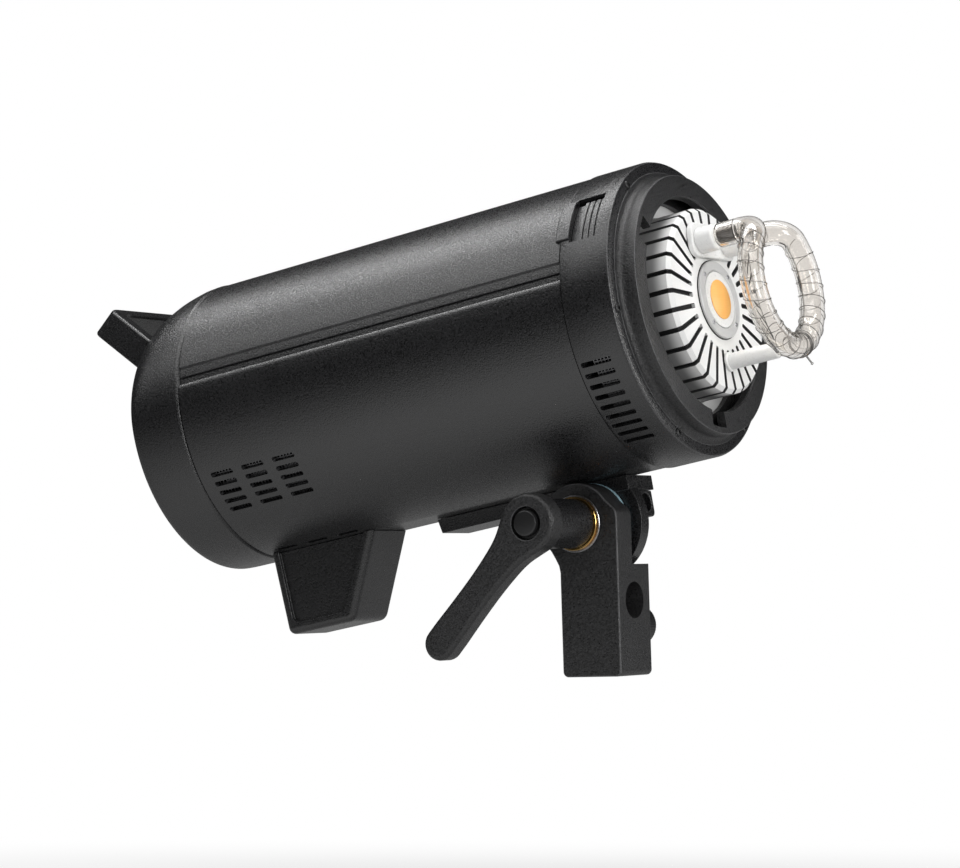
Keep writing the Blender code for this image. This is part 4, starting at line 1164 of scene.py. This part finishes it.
class STROBE_OT_front_cover(bpy.types.Operator):
    """Front cover with vents and screws, and the release slider in its pocket"""
    bl_idname = "strobe.front_cover"
    bl_label = "Front cover"

    def execute(self, context):
        sizes, _ = settings(context)
        line = [(COVER_SEAM, COVER_R - 0.6), (COVER_SEAM + 0.2, COVER_R - 0.2), (COVER_SEAM + 0.8, COVER_R)]
        line += smooth_line(shifted(((-1.8, 0.0), (-0.5, -0.5), (0.0, -1.7)), FLANGE_FACE, COVER_R), 4)
        wall = COVER_R - 2.9
        line += [(FLANGE_FACE, RING_TAIL + FIT), (FLANGE_FACE - 2.8, RING_TAIL + FIT)]
        line.append((FLANGE_FACE - 2.8, wall))
        line += [(COVER_SEAM + 5.4, wall), (COVER_SEAM + 5.4, LIP_IN), (COVER_SEAM - 5.0, LIP_IN)]
        line += [(COVER_SEAM - 5.0, LIP_R), (COVER_SEAM, LIP_R)]
        cover = lathe(line, 180)
        vents = [slot_tool(COVER_VENT_X, side, COVER_R, *COVER_SLOT) for side in both_sides(COVER_VENTS)]
        window_back = SLIDER_BACK - SLIDER_TRAVEL - 1.2
        tail = BODY_R - 1.5
        window = box_corners(window_back, SLIDER_FRONT + 0.4, 60.0, 70.0)
        passage = box_corners(COVER_SEAM + 0.1, SLIDER_BACK, 56.0, tail + 0.3)
        half = SLIDER_HALF + 0.5
        cuts = [sector(line, SLIDER_AT - half, SLIDER_AT + half, 32) for line in (window, passage)]
        moulded("front_cover_skin", cover, (0.25, 2), "moulded", "front_cover", cuts=[join(vents)] + cuts)

        floor = box_corners(46.2, 60.5, 58.6, 59.6)
        pocket = sector(floor, SLIDER_AT - half - 2, SLIDER_AT + half + 2, 24)
        plain("slider_pocket", pocket, 35.0, "inside", slot="front_cover")
        low, high = BODY_R - 1.0, COVER_R + 1.0
        block = [(38.4, low), (window_back, low), (window_back, high), (39.0, high), (38.4, high - 0.6)]
        stop = sector(block, SLIDER_AT - SLIDER_HALF + 1.0, SLIDER_AT + SLIDER_HALF - 1.0, 24)
        moulded("slider_stop", stop, (0.5, 3), "moulded", slot="front_cover")

        rib = COVER_R - 0.9
        slide = [(SLIDER_BACK - 5.2, 60.0), (SLIDER_FRONT, 60.0), (SLIDER_FRONT, rib)]
        for number in range(3):
            x = SLIDER_FRONT - 1.2 - number * 2.9
            slide += [(x, rib), (x - 0.15, rib - 0.8), (x - 0.55, rib - 0.8), (x - 0.7, rib)]
        slide += [(SLIDER_BACK - 1.0, rib), (SLIDER_BACK - 1.2, tail), (SLIDER_BACK - 5.2, tail)]
        button = sector(slide, SLIDER_AT - SLIDER_HALF, SLIDER_AT + SLIDER_HALF - 1.6, 32)
        moulded("slider_button", button, (0.2, 2), "moulded", "release_slider", body="release")
        refined("lock_pin_skin", "lock_pin", 0.3, 2, "steel", "release")

        screw = piece_of("flange_screws", screw_shape(1.9, 0.8, 0.85))
        set_round(screw, "satin", sizes.flange_screws, *FLANGE_SCREWS)
        shade(screw, 30.0)
        dress(screw, "satin", slot="clamp_bolt", place=ahead_of_head(FLANGE_FACE))
        return {"FINISHED"}


class STROBE_OT_mount(bpy.types.Operator):
    """Bayonet mount ring and the white sheet behind it"""
    bl_idname = "strobe.mount"
    bl_label = "Mount ring"

    def execute(self, context):
        line = [(RING_FACE, RING_IN + 0.5), (RING_FACE, RING_R - 0.9)]
        line += smooth_line(shifted(((0.0, -0.9), (-0.25, -0.25), (-0.9, 0.0)), RING_FACE, RING_R), 3)[1:]
        turn = [math.radians(90.0 * k / 10) for k in range(11)]
        line += [(67.9 - 3.0 * math.sin(t), RING_R + 3.0 - 3.0 * math.cos(t)) for t in turn]
        line += [(FLANGE_FACE + 0.1, RING_R + 3.2), (FLANGE_FACE + 0.1, RING_TAIL), (59.5, RING_TAIL)]
        line += [(59.5, RING_IN), (62.0, RING_IN), (62.0, RING_ROOM), (69.0, RING_ROOM), (69.0, RING_IN)]
        line.append((RING_FACE - 0.5, RING_IN))
        ring = lathe(line, 192)
        entry = box_corners(67.0, RING_FACE + 2.0, RING_IN - 4.0, RING_ROOM - 0.4)
        tools = [sector(entry, a - SLOT_WIDE / 2, a + SLOT_WIDE / 2, 12) for a in SLOT_ANGLES]
        pin_at = polar(51.5, PIN_AT)
        cuts = [join(tools), rod(pin_at, PIN_HOLE, 32, 58.0, 64.0, "X")]
        moulded("mount_ring_skin", ring, (0.25, 2, 40.0), "coarse", "mount_ring", cuts=cuts)

        dish = lathe(box_corners(57.0, 59.2, DRUM_R + 0.5, RING_TAIL - 0.5), 128)
        hole = rod(pin_at, PIN_HOLE, 32, 55.0, 61.0, "X")
        plain("front_dish_skin", dish, 35.0, "white", "front_dish", cuts=[hole])
        return {"FINISHED"}


# Drum: thickness of its wall, then the middle, size, corners and first angle of its slots
DRUM_WALL = 1.6
DRUM_SLOT = ((33.0, 0.0), (22.0, 2.1), 0.9)
DRUM_PHASE = 3.0
# Radii of the lamp's gel, of its ring and of the ring's screws
GEL_R = 8.7
LAMP_RING_R = 17.2
LAMP_SCREWS_R = 14.9


class STROBE_OT_drum(bpy.types.Operator):
    """Finned drum with the modelling lamp"""
    bl_idname = "strobe.drum"
    bl_label = "Drum and lamp"

    def execute(self, context):
        sizes, _ = settings(context)
        line = [(DRUM_FACE, 0), (DRUM_FACE, DRUM_R - 1.7), (DRUM_FACE - 1.7, DRUM_R), (50.0, DRUM_R)]
        face, side = DRUM_FACE - DRUM_WALL, DRUM_R - DRUM_WALL
        line += [(50.0, side), (face - 0.8, side), (face, side - 0.8), (face, 0)]
        drum = lathe(line, 240)
        tools = []
        points, faces = prism(box_line(*DRUM_SLOT), 57.0, 83.0, "X")
        for number in range(sizes.drum_slots):
            out, around = spoke(DRUM_PHASE + 360.0 * number / sizes.drum_slots)
            tools.append(([Vector((p[0], 0, 0)) + out * p[1] + around * p[2] for p in points], faces))
        # The drum's white carries painted shade on its side and in its slots
        moulded("drum_fins", drum, (0.2, 2, 30.0), "drum_white_shaded", "heat_sink", cuts=[join(tools)])
        # Black core right behind the thin wall: painted shade, a dark body so that the slots read black
        face, side = face - 0.1, side - 0.1
        line = [(58.0, 0), (58.0, side), (face - 0.75, side), (face, side - 0.75), (face, 0)]
        turned("drum_core", line, 120, "inside", slot="inner_tray")

        line = shifted(((0, 0), (0, LED_R), (1.0, LED_R), (1.2, LED_R - 0.2), (1.2, 0)), SEAT)
        turned("lamp_base", line, 72, "ceramic", "led_base")
        line = shifted(((1.25, 0), (1.25, GEL_R), (1.5, GEL_R), (1.7, GEL_R - 0.3), (1.8, 0)), SEAT)
        turned("lamp_gel_disc", line, 72, "lamp", "led_lamp", limit=50.0)
        inner, outer = LED_R + 0.4, LAMP_RING_R
        line = ((0, inner), (0, outer), (0.9, outer), (1.3, outer - 0.4), (1.3, inner + 0.6), (0.9, inner))
        turned("lamp_ring", shifted(line, SEAT), 96, "plastic", "led_retainer", limit=30.0)
        # Thin black ring at the lamp ring's edge: painted shade for the gap round it
        line = box_corners(SEAT - 0.25, SEAT + 0.1, outer - 0.2, outer + 0.4)
        turned("lamp_ring_gap", line, 96, "inside", slot="led_retainer")
        screw = piece_of("lamp_ring_screws", screw_shape(1.0, 0.5, 0.5, 18))
        set_round(screw, "steel", sizes.ring_screws, LAMP_SCREWS_R, 45.0)
        shade(screw, 30.0)
        dress(screw, "steel", slot="pivot_nut", place=ahead_of_head(SEAT + 1.2))
        return {"FINISHED"}


def loop_path(fine):
    """Centre line of the flash tube and the angles where its ring begins and ends."""
    bend = []
    for k in range(fine + 1):
        beta = math.radians(90.0 * k / fine)
        angle = LEG_ANGLE - math.degrees(BEND * (1 - math.cos(beta)) / LOOP_R)
        bend.append((LOOP_X - BEND + BEND * math.sin(beta), angle))
    begin = bend[-1][1]
    end = -180.0 - begin
    steps = fine * 8
    start = CAP_END + FIT
    path = [(start, LEG_ANGLE)] + bend
    path += [(LOOP_X, begin + (end - begin) * k / steps) for k in range(1, steps)]
    path += [(x, -180.0 - angle) for x, angle in reversed(bend)] + [(start, -180.0 - LEG_ANGLE)]
    return [(x,) + polar(LOOP_R, angle) for x, angle in path], begin, end


class STROBE_OT_flash_tube(bpy.types.Operator):
    """Ring-shaped glass tube, its socket, sleeves, caps and post"""
    bl_idname = "strobe.flash_tube"
    bl_label = "Flash tube"

    def execute(self, context):
        path, _, _ = loop_path(12)
        plain("tube_glass_ring", tube(path, TUBE_R, TUBE_R - 1.6, 32), 60.0, "glass", "flash_tube")

        foot = rounded([(-20.0, 17.9), (20.0, 17.9), (18.0, 33.0), (-18.0, 33.0)], 5.0, 8)
        moulded("tube_foot", prism(foot, SEAT, SEAT + 2.6, "X"), (0.7, 3), "ceramic", "tube_socket")
        low, high = CAP_START, CAP_END
        legs = [polar(LOOP_R, LEG_ANGLE), polar(LOOP_R, 180 - LEG_ANGLE)]
        for number, at in enumerate(legs, 1):
            line = [(SEAT + 2.9, 0), (SEAT + 2.9, 5.8)]
            line += smooth_line([(89.9, 5.8), (90.8, 5.4), (91.2, 4.5)], 3) + [(91.2, 0)]
            turned("sleeve_%d" % number, line, 48, "ceramic", "tube_sleeve_%d" % number, centre=at, limit=40.0)
            line = shifted(((-0.3, 0), (-0.3, 2.2), (1.0, 2.2), (1.2, 3.5)), low)
            line += shifted(((-1.6, 3.6), (-0.9, 3.2), (-0.4, 0)), high)
            name = "electrode_cap_%d" % number
            turned("electrode_%d" % number, line, 48, "chrome", name, centre=at, limit=40.0)
            neck = [(low + 2.4, TUBE_R), (high - 0.1, TUBE_R)]
            line = smooth_line(shifted(((-0.2, 2.5), (0.0, 3.9), (0.8, 5.0)), low) + neck, 4)
            inner = smooth_line(neck[::-1] + [(low + 1.2, 5.0), (low + 0.7, 4.4)], 4)
            line += shifted(inner, 0.0, -1.3) + [(low + 0.5, 2.5)]
            turned("tube_end_%d" % number, line, 48, "glass", slot="flash_tube", centre=at, limit=60.0)

        tip = LOOP_X - TUBE_R - 1.4
        line = shifted(((0, 0), (0, 4.3), (0.8, 4.3), (1.2, 3.6)), SEAT)
        line += [(tip - 1.0, 3.6), (tip, 2.9), (tip, 0)]
        turned("tube_post", line, 40, "ceramic", "support_post", centre=(0.0, -LOOP_R), limit=40.0)
        return {"FINISHED"}


# Trigger wire: points per turn, and the turns and reach of its tie
WIRE_STEPS = 24
TIE_TURNS = 5
TIE_REACH = (-101.0, -106.5)


class STROBE_OT_trigger_wire(bpy.types.Operator):
    """Trigger wire wound round the tube, with its tied end"""
    bl_idname = "strobe.trigger_wire"
    bl_label = "Trigger wire"

    def execute(self, context):
        sizes, _ = settings(context)
        _, begin, end = loop_path(12)
        wrap = TUBE_R + sizes.wire / MM + 0.1
        path = self.wound(sizes.wire_turns, begin - 4.0, end + 4.0, wrap, 1.0)
        self.wire("trigger_winding", path, sizes, "trigger_wire")
        self.wire("trigger_tie", self.wound(TIE_TURNS, *TIE_REACH, wrap, 0.0), sizes)
        y, z = polar(LOOP_R + wrap, -104.0)
        foot = Vector((LOOP_X + 1.5, y, z))
        ahead = Vector((0.35, 0.35, -0.87)).normalized()
        side = ahead.cross(Vector((1.0, 0.0, 0.0))).normalized()
        other = ahead.cross(side)
        for number, start in enumerate((0.0, math.pi), 1):
            twist = []
            for k in range(37):
                turn = start + 2 * math.pi * 3 * k / 36
                swell = 0.32 + (0.5 * max(k - 30, 0) / 6)
                around = side * math.cos(turn) + other * math.sin(turn)
                twist.append(foot + ahead * (4.2 * k / 36) + around * swell)
            self.wire("trigger_twist_%d" % number, twist, sizes)
        return {"FINISHED"}

    def wound(self, turns, begin, end, wrap, sway):
        """Line wound round the tube's ring; sway makes the turns uneven."""
        path = []
        steps = turns * WIRE_STEPS
        for k in range(steps + 1):
            part = k / steps
            uneven = 0.5 * math.sin(23.0 * part) + 0.4 * math.sin(9.0 * part)
            phase = 2 * math.pi * turns * part + sway * uneven
            y, z = polar(LOOP_R + wrap * math.cos(phase), begin + (end - begin) * part)
            path.append((LOOP_X + wrap * math.sin(phase), y, z))
        return path

    def wire(self, name, path, sizes, *nodes):
        mesh = bpy.data.meshes.new(name)
        mesh.from_pydata([Vector(p) * MM for p in path], [(i, i + 1) for i in range(len(path) - 1)], [])
        piece = put(name, mesh)
        grow(piece, tree_of("round_wire"), radius=sizes.wire, sides=8, material=LOOKS["wire"])
        piece.data.shade_smooth()
        dress(piece, "wire", *nodes, slot="trigger_wire")


class STROBE_OT_tilt_plate(bpy.types.Operator):
    """Tilt plate under the body, friction disc and nut"""
    bl_idname = "strobe.tilt_plate"
    bl_label = "Tilt plate"

    def execute(self, context):
        top = -FLAT_Z - FIT
        under = top - PLATE_THICK
        line = [(-79.0, top), (-77.6, under), (PLATE_FRONT, under), (PLATE_FRONT, top)]
        plate = piece_of("tilt_plate", prism(line, EAR_Y[0], 24.0, "Y"))
        ear = [(x, z - AXIS_UP) for x, z in circle((0.0, 0.0), EAR_R, 120) if z < 13.0]
        ear.sort(key=lambda p: math.atan2(p[0], -(p[1] + AXIS_UP)))
        carve(plate, prism(ear, EAR_Y[0] + 0.4, EAR_Y[1], "Y"), operation="UNION")
        carve(plate, rod((0.0, -AXIS_UP), BOLT_R + FIT, 48, 0.0, 12.0, "Y"))
        soften(plate, 0.6, 3, 40.0)
        even(plate)
        dress(plate, "paint", "mounting_plate")
        under -= FIT
        corners = [(11.6, -82.5), (23.4, -82.5), (23.4, under), (11.6, under)]
        outline = rounded(corners, 2.5, 6)[:14] + corners[2:]
        for number, (low, high) in enumerate(((PLATE_FRONT - 10.5, PLATE_FRONT - 1.0), (-24.0, -13.5)), 1):
            hole = rod(UMBRELLA_AT, UMBRELLA_R, 48, low - 5.0, high + 5.0, "X")
            moulded("guide_%d" % number, prism(outline, low, high, "X"), (0.4, 2, 40.0), "paint",
                    "umbrella_guide_%d" % number, cuts=[hole])

        pad = [(x, min(z, -FLAT_Z - 0.6)) for x, z in circle((0.0, -AXIS_UP), PAD_R - 1.5, 120)]
        disc = prism(pad, CHEEK + FIT, EAR_Y[0] - FIT, "Y")
        hole = rod((0.0, -AXIS_UP), BOLT_R + FIT, 48, -9.0, 9.0, "Y")
        plain("tilt_disc", disc, 35.0, "disc", "friction_disc", cuts=[hole])
        refined("tilt_nut", "pivot_nut", 0.4, 2, "steel", "head")
        return {"FINISHED"}


class STROBE_OT_bracket(bpy.types.Operator):
    """Stand bracket and its lock knob"""
    bl_idname = "strobe.bracket"
    bl_label = "Bracket"

    def execute(self, context):
        turns = [math.radians(a) for a in range(222, 30, -4)]
        side = rounded([(BLOCK_X, 20.0), (BLOCK_X, 0.0), (-BLOCK_X, 0.0), (-BLOCK_X, 20.0)], 2.4, 6)[7:21]
        side += [(-BLOCK_X, STEP_Z - 3.0), (-BLOCK_X - 0.6, STEP_Z), (-BLOCK_X - 2.2, STEP_Z + 3.0)]
        side += [(PIVOT_X + HEAD_R * math.cos(t), PIVOT_Z + HEAD_R * math.sin(t)) for t in turns]
        side += [(BLOCK_X - 1.0, PIVOT_Z + 6.0), (BLOCK_X - 0.25, PIVOT_Z + 4.0), (BLOCK_X, PIVOT_Z + 2.0)]
        cuts = (
            prism(box_corners(-40.0, 40.0, STEP_Z, 110.0), CHEEK, 30.0, "Y"),
            rod((PIVOT_X, PIVOT_Z), EAR_R + 0.6, 120, CHEEK, 30.0, "Y"),
            rod((0.0, 0.0), STAND_BORE, 72, -5.0, SIDE_BORE_Z, "Z"),
            rod((0.0, SIDE_BORE_Z), SIDE_BORE, 72, -30.0, 30.0, "X"),
            rod((PIVOT_X, PIVOT_Z), BOLT_R + FIT, 48, -30.0, 5.0, "Y"),
            rod((0.0, KNOB_Z), 4.0, 40, 4.0, 30.0, "Y"))
        machined("bracket_body", prism(side, -BLOCK_Y, BLOCK_Y, "Y"), (0.65, 3, 50.0), cuts, (0.5, 3, 50.0),
                 "coarse", "bracket", place=BASE, body="base")

        lobes = []
        for k in range(192):
            turn = 2 * math.pi * k / 192
            reach = KNOB_R + 0.05 * math.cos(48 * turn)
            lobes.append((reach * math.cos(turn), KNOB_Z + reach * math.sin(turn)))
        knob = prism(lobes, 15.5, 30.0, "Y")
        where = {"place": BASE, "body": "stand_lock"}
        moulded("lock_knob", knob, (1.4, 4, 60.0), "satin", "stand_knob", **where)
        line = shifted(((0.5, 0), (0.5, 3.2), (1.0, 3.7)), STAND_BORE) + [(15.6, 3.7), (15.6, 0)]
        turned("lock_knob_stem", line, 40, "steel", slot="stand_knob", axis="Y", centre=(0.0, KNOB_Z), **where)
        return {"FINISHED"}


class STROBE_OT_clamp(bpy.types.Operator):
    """Clamp washers, bolt sleeve, lever and its cap"""
    bl_idname = "strobe.clamp"
    bl_label = "Clamp"

    def execute(self, context):
        clear = BOLT_R + FIT
        for name, cad, low, high, outer, look in (
                ("washer_steel", "steel_washer", -BLOCK_Y - 1.3, -BLOCK_Y - FIT, 12.5, "steel"),
                ("washer_brass", "brass_washer", -BLOCK_Y - 2.9, -BLOCK_Y - 1.6, 11.7, "brass")):
            third = (high - low) / 3
            flank = ((0.0, -0.15), (0.15, 0.0), (third - 0.1, 0.0), (third, -0.7))
            line = [(low, clear)] + shifted(flank, low, outer)
            line += shifted([(-x, r) for x, r in reversed(flank)], high, outer) + [(high, clear)]
            turned(name, line, 96, look, cad, place=PIVOT, body="base", axis="Y", limit=30.0)
        front = -BLOCK_Y - 3.2
        back = LEVER_Y[1] + FIT
        line = [(EAR_Y[1] + 4.0, 0), (EAR_Y[1] + 4.0, BOLT_R), (front, BOLT_R), (front, SLEEVE_R - 0.6)]
        line += [(front - 0.6, SLEEVE_R), (back, SLEEVE_R), (back, BOLT_R)]
        line += [(LEVER_Y[0] + 5.0, BOLT_R), (LEVER_Y[0] + 5.0, 0)]
        turned("clamp_sleeve", line, 96, "paint", "clamp_bolt", place=PIVOT, body="bolt", axis="Y", limit=30.0)

        heading = math.atan2(LEVER_END[1], LEVER_END[0])
        length = math.hypot(*LEVER_END)
        flank = [(-3.0, 12.65), (3.0, 12.6), (9.0, 10.6), (15.0, 8.6), (22.0, 7.5), (34.0, 6.8), (48.0, 6.8)]
        flank = smooth_line(flank + [(length - 6.0, LEVER_TIP)], 5)
        end_turns = [math.radians(a) for a in range(0, 181, 10)]
        end = [(length + LEVER_TIP * math.sin(t), LEVER_TIP * math.cos(t)) for t in end_turns]
        back_turns = [math.radians(a) for a in range(246, 113, -6)]
        hub = [(LEVER_HUB * math.cos(t), LEVER_HUB * math.sin(t)) for t in back_turns]
        line = flank + end + [(u, -v) for u, v in reversed(flank)] + hub
        c, s = math.cos(heading), math.sin(heading)
        line = [(u * c - v * s, u * s + v * c) for u, v in line]
        cuts = (
            rod((0.0, 0.0), 7.2, 72, LEVER_Y[0] - 5.0, LEVER_Y[0] + 3.4, "Y"),
            rod((0.0, 0.0), clear, 48, LEVER_Y[0] + 1.0, LEVER_Y[1] + 5.0, "Y"))
        machined("lever_arm", prism(line, *LEVER_Y, "Y"), (2.2, 5, 60.0), cuts, (0.35, 3, 50.0),
                 "coarse", "clamp_lever", place=PIVOT, body="lever")
        low, high = LEVER_Y[0] - 1.2, LEVER_Y[0] + 3.1
        line = [(low, 0), (low, 4.7)] + smooth_line([(low, 4.7), (low + 0.2, 5.3), (low + 0.8, 5.6)], 3)[1:]
        line += [(low + 2.4, 5.7), (high - 1.0, 5.7), (high - 1.0, 6.7), (high, 6.7), (high, 0)]
        turned("lever_button", line, 64, "satin", "lever_cap", place=PIVOT, body="lever", axis="Y", limit=40.0)
        return {"FINISHED"}


class STROBE_OT_inside(bpy.types.Operator):
    """Finishes of the pieces inside the closed body"""
    bl_idname = "strobe.inside"
    bl_label = "Inner pieces"

    def execute(self, context):
        looks = {"inner_tray": "steel", "power_board": "board", "fan_frame": "satin", "fan_rotor": "satin"}
        looks.update({"capacitor_%d" % n: "can" for n in (1, 2, 3)})
        for cad, look in looks.items():
            NODES[cad].data.materials.clear()
            NODES[cad].data.materials.append(LOOKS[look])
        return {"FINISHED"}


# The stand that holds the head up is left out: the floor lies below the lowest pose
FLOOR_Z = -95.0
# The floor's grey as a source of light and to the eye
FLOOR_GREY = (0.36, 0.62)
# Distance from the object, in a strip along it, over which the floor goes over to plain white
FLOOR_FADE = (0.06, 0.32)
FLOOR_NEAR = 0.5
STRIP_SHIFT = (0.03, 0.0, 0.0)
STRIP_SCALE = (0.4, 1.0, 1.0)
# Mirrored floor: bright on the camera's side, near the middle
NEAR_SIDE = (-0.12, 0.12, 1.0, 0.12)
MIDDLE_X = 0.08
MIDDLE = (0.12, 0.42, 1.0, 0.1)
# World light, and how much less of it shows in reflections
WORLD_LIGHT = 0.07
WORLD_GLOSS_LESS = 0.045
TARGET = Vector((-0.03, 0.0, 0.14))
# Softboxes: name, place, size, power and the direction of the first side
SOFTBOXES = (
    ("top_strip", (-0.15, 0.12, 1.45), (2.6, 0.26), 21.0, (1.0, 0.0, 0.15)),
    ("high_box", (-0.2, -0.66, 1.3), (2.4, 0.66), 13.0, (1.0, 0.0, 0.15)),
    ("edge_box", (1.25, -0.7, 0.4), (0.45, 0.8), 9.5, (0.0, 1.0, 0.0)),
    ("face_box", (1.3, 0.6, 0.35), (0.6, 0.6), 5.0, (0.0, 1.0, 0.0)),
)
SENSOR = 36.0


class STROBE_OT_stage(bpy.types.Operator):
    """Pale floor, soft studio light and the photograph's camera"""
    bl_idname = "strobe.stage"
    bl_label = "Stage"

    def execute(self, context):
        scene = context.scene
        scene.view_settings.view_transform = "Standard"
        half = settings(context)[0].floor / MM
        corners = [(a * half, b * half, FLOOR_Z) for a, b in ((-1, -1), (1, -1), (1, 1), (-1, 1))]
        floor = piece_of("floor", (corners, [(0, 1, 2, 3)]))
        floor.data.materials.append(self.floor_look())
        self.world(scene)
        for box in SOFTBOXES:
            self.softbox(*box)
        camera = put("camera", bpy.data.cameras.new("camera"))
        ahead, up = Vector(CAMERA_AHEAD).normalized(), -Vector(CAMERA_DOWN).normalized()
        right = ahead.cross(up).normalized()
        turn = Matrix((right, right.cross(ahead), -ahead)).transposed()
        camera.matrix_world = Matrix.Translation(CAMERA_AT) @ turn.to_4x4()
        camera.data.sensor_fit = "HORIZONTAL"
        camera.data.sensor_width = SENSOR
        camera.data.lens = SENSOR * FOCAL_PX / IMAGE[0]
        camera.data.clip_start = 0.01
        camera.data.clip_end = 100.0
        scene.camera = camera
        return {"FINISHED"}

    def seen(self, tree):
        """Light Path's outputs, and 1 where the eye looks, straight or through glass."""
        rays = node(tree, "ShaderNodeLightPath").outputs
        return rays, math_node(tree, "MAXIMUM", rays["Is Camera Ray"], rays["Is Transmission Ray"])

    def floor_look(self):
        """Pale floor: white to the eye, with the shadow kept, and clear from below."""
        material, tree, shader = new_material("pale_floor")
        coords = here(tree)
        rays, clear = self.seen(tree)
        fill(tree, shader, {
            "Base Color": ramp(tree, clear, 0.0, 1.0, *FLOOR_GREY),
            "Roughness": spread(tree, noise(tree, coords, 3.0, 2.0, 0.5), 0.85, 0.95)})
        strip = node(tree, "ShaderNodeMapping", {
            "Vector": coords, "Location": STRIP_SHIFT, "Scale": STRIP_SCALE})
        away = vector_node(tree, "LENGTH", strip.outputs["Vector"]).outputs["Value"]
        far = ramp(tree, away, *FLOOR_FADE, FLOOR_NEAR, way="SMOOTHSTEP")
        parts = node(tree, "ShaderNodeSeparateXYZ", {0: coords}).outputs
        near_side = ramp(tree, parts["Y"], *NEAR_SIDE, way="SMOOTHSTEP")
        aside = math_node(tree, "ABSOLUTE", math_node(tree, "ADD", parts["X"], MIDDLE_X))
        middle = ramp(tree, aside, *MIDDLE, way="SMOOTHSTEP")
        mirrored = product(tree, math_node(tree, "POWER", far, 2.0), near_side, middle)
        mirrored = product(tree, rays["Is Glossy Ray"], mirrored)
        share = math_node(tree, "MAXIMUM", product(tree, clear, far), mirrored)
        glow = node(tree, "ShaderNodeEmission")
        upper = mix_shader(tree, share, shader.outputs[0], glow.outputs[0])
        below = node(tree, "ShaderNodeNewGeometry").outputs["Backfacing"]
        both = mix_shader(tree, below, upper, node(tree, "ShaderNodeBsdfTransparent").outputs[0])
        fill(tree, tree.nodes["Material Output"], {"Surface": both})
        return material

    def world(self, scene):
        """White to the eye, soft as light, softer still in reflections."""
        world = bpy.data.worlds.new("studio")
        scene.world = world
        world.use_nodes = True
        tree = world.node_tree
        rays, clear = self.seen(tree)
        less = product(tree, rays["Is Glossy Ray"], WORLD_GLOSS_LESS)
        level = math_node(tree, "MAXIMUM", clear, math_node(tree, "SUBTRACT", WORLD_LIGHT, less))
        fill(tree, tree.nodes["Background"], {"Color": (1.0, 1.0, 1.0, 1.0), "Strength": level})

    def softbox(self, name, at, size, power, along):
        """Area lamp that faces the target, its first side along a direction."""
        lamp = bpy.data.lights.new(name, "AREA")
        lamp.shape = "RECTANGLE"
        lamp.size, lamp.size_y = size
        lamp.energy = power
        box = put(name, lamp)
        back = (Vector(at) - TARGET).normalized()
        up = back.cross(Vector(along)).normalized()
        box.matrix_world = Matrix.Translation(at) @ Matrix((up.cross(back), up, back)).transposed().to_4x4()


class STROBE_PT_panel(bpy.types.Panel):
    """Pieces and settings of the strobe"""
    bl_idname = "STROBE_PT_panel"
    bl_label = "Monolight strobe"
    bl_space_type = "VIEW_3D"
    bl_region_type = "UI"
    bl_category = "Strobe"

    def draw(self, context):
        for group in settings(context):
            for name in group.bl_rna.properties.keys():
                if name not in {"rna_type", "name"}:
                    self.layout.prop(group, name)
        for step in STEPS:
            self.layout.operator(step.bl_idname)


STEPS = (
    STROBE_OT_stage,
    STROBE_OT_finishes,
    STROBE_OT_shells,
    STROBE_OT_rear_end,
    STROBE_OT_controls,
    STROBE_OT_holds,
    STROBE_OT_front_cover,
    STROBE_OT_mount,
    STROBE_OT_drum,
    STROBE_OT_flash_tube,
    STROBE_OT_trigger_wire,
    STROBE_OT_tilt_plate,
    STROBE_OT_bracket,
    STROBE_OT_clamp,
    STROBE_OT_inside,
)
CLASSES = (StrobeColours, StrobeSizes) + STEPS + (STROBE_PT_panel,)


def register():
    for item in CLASSES:
        bpy.utils.register_class(item)
    bpy.types.Scene.strobe_colours = PointerProperty(type=StrobeColours)
    bpy.types.Scene.strobe_sizes = PointerProperty(type=StrobeSizes)


def unregister():
    del bpy.types.Scene.strobe_sizes
    del bpy.types.Scene.strobe_colours
    for item in reversed(CLASSES):
        bpy.utils.unregister_class(item)


def main():
    register()
    for step in STEPS:
        group, name = step.bl_idname.split(".")
        getattr(getattr(bpy.ops, group), name)()


if __name__ == "__main__":
    main()
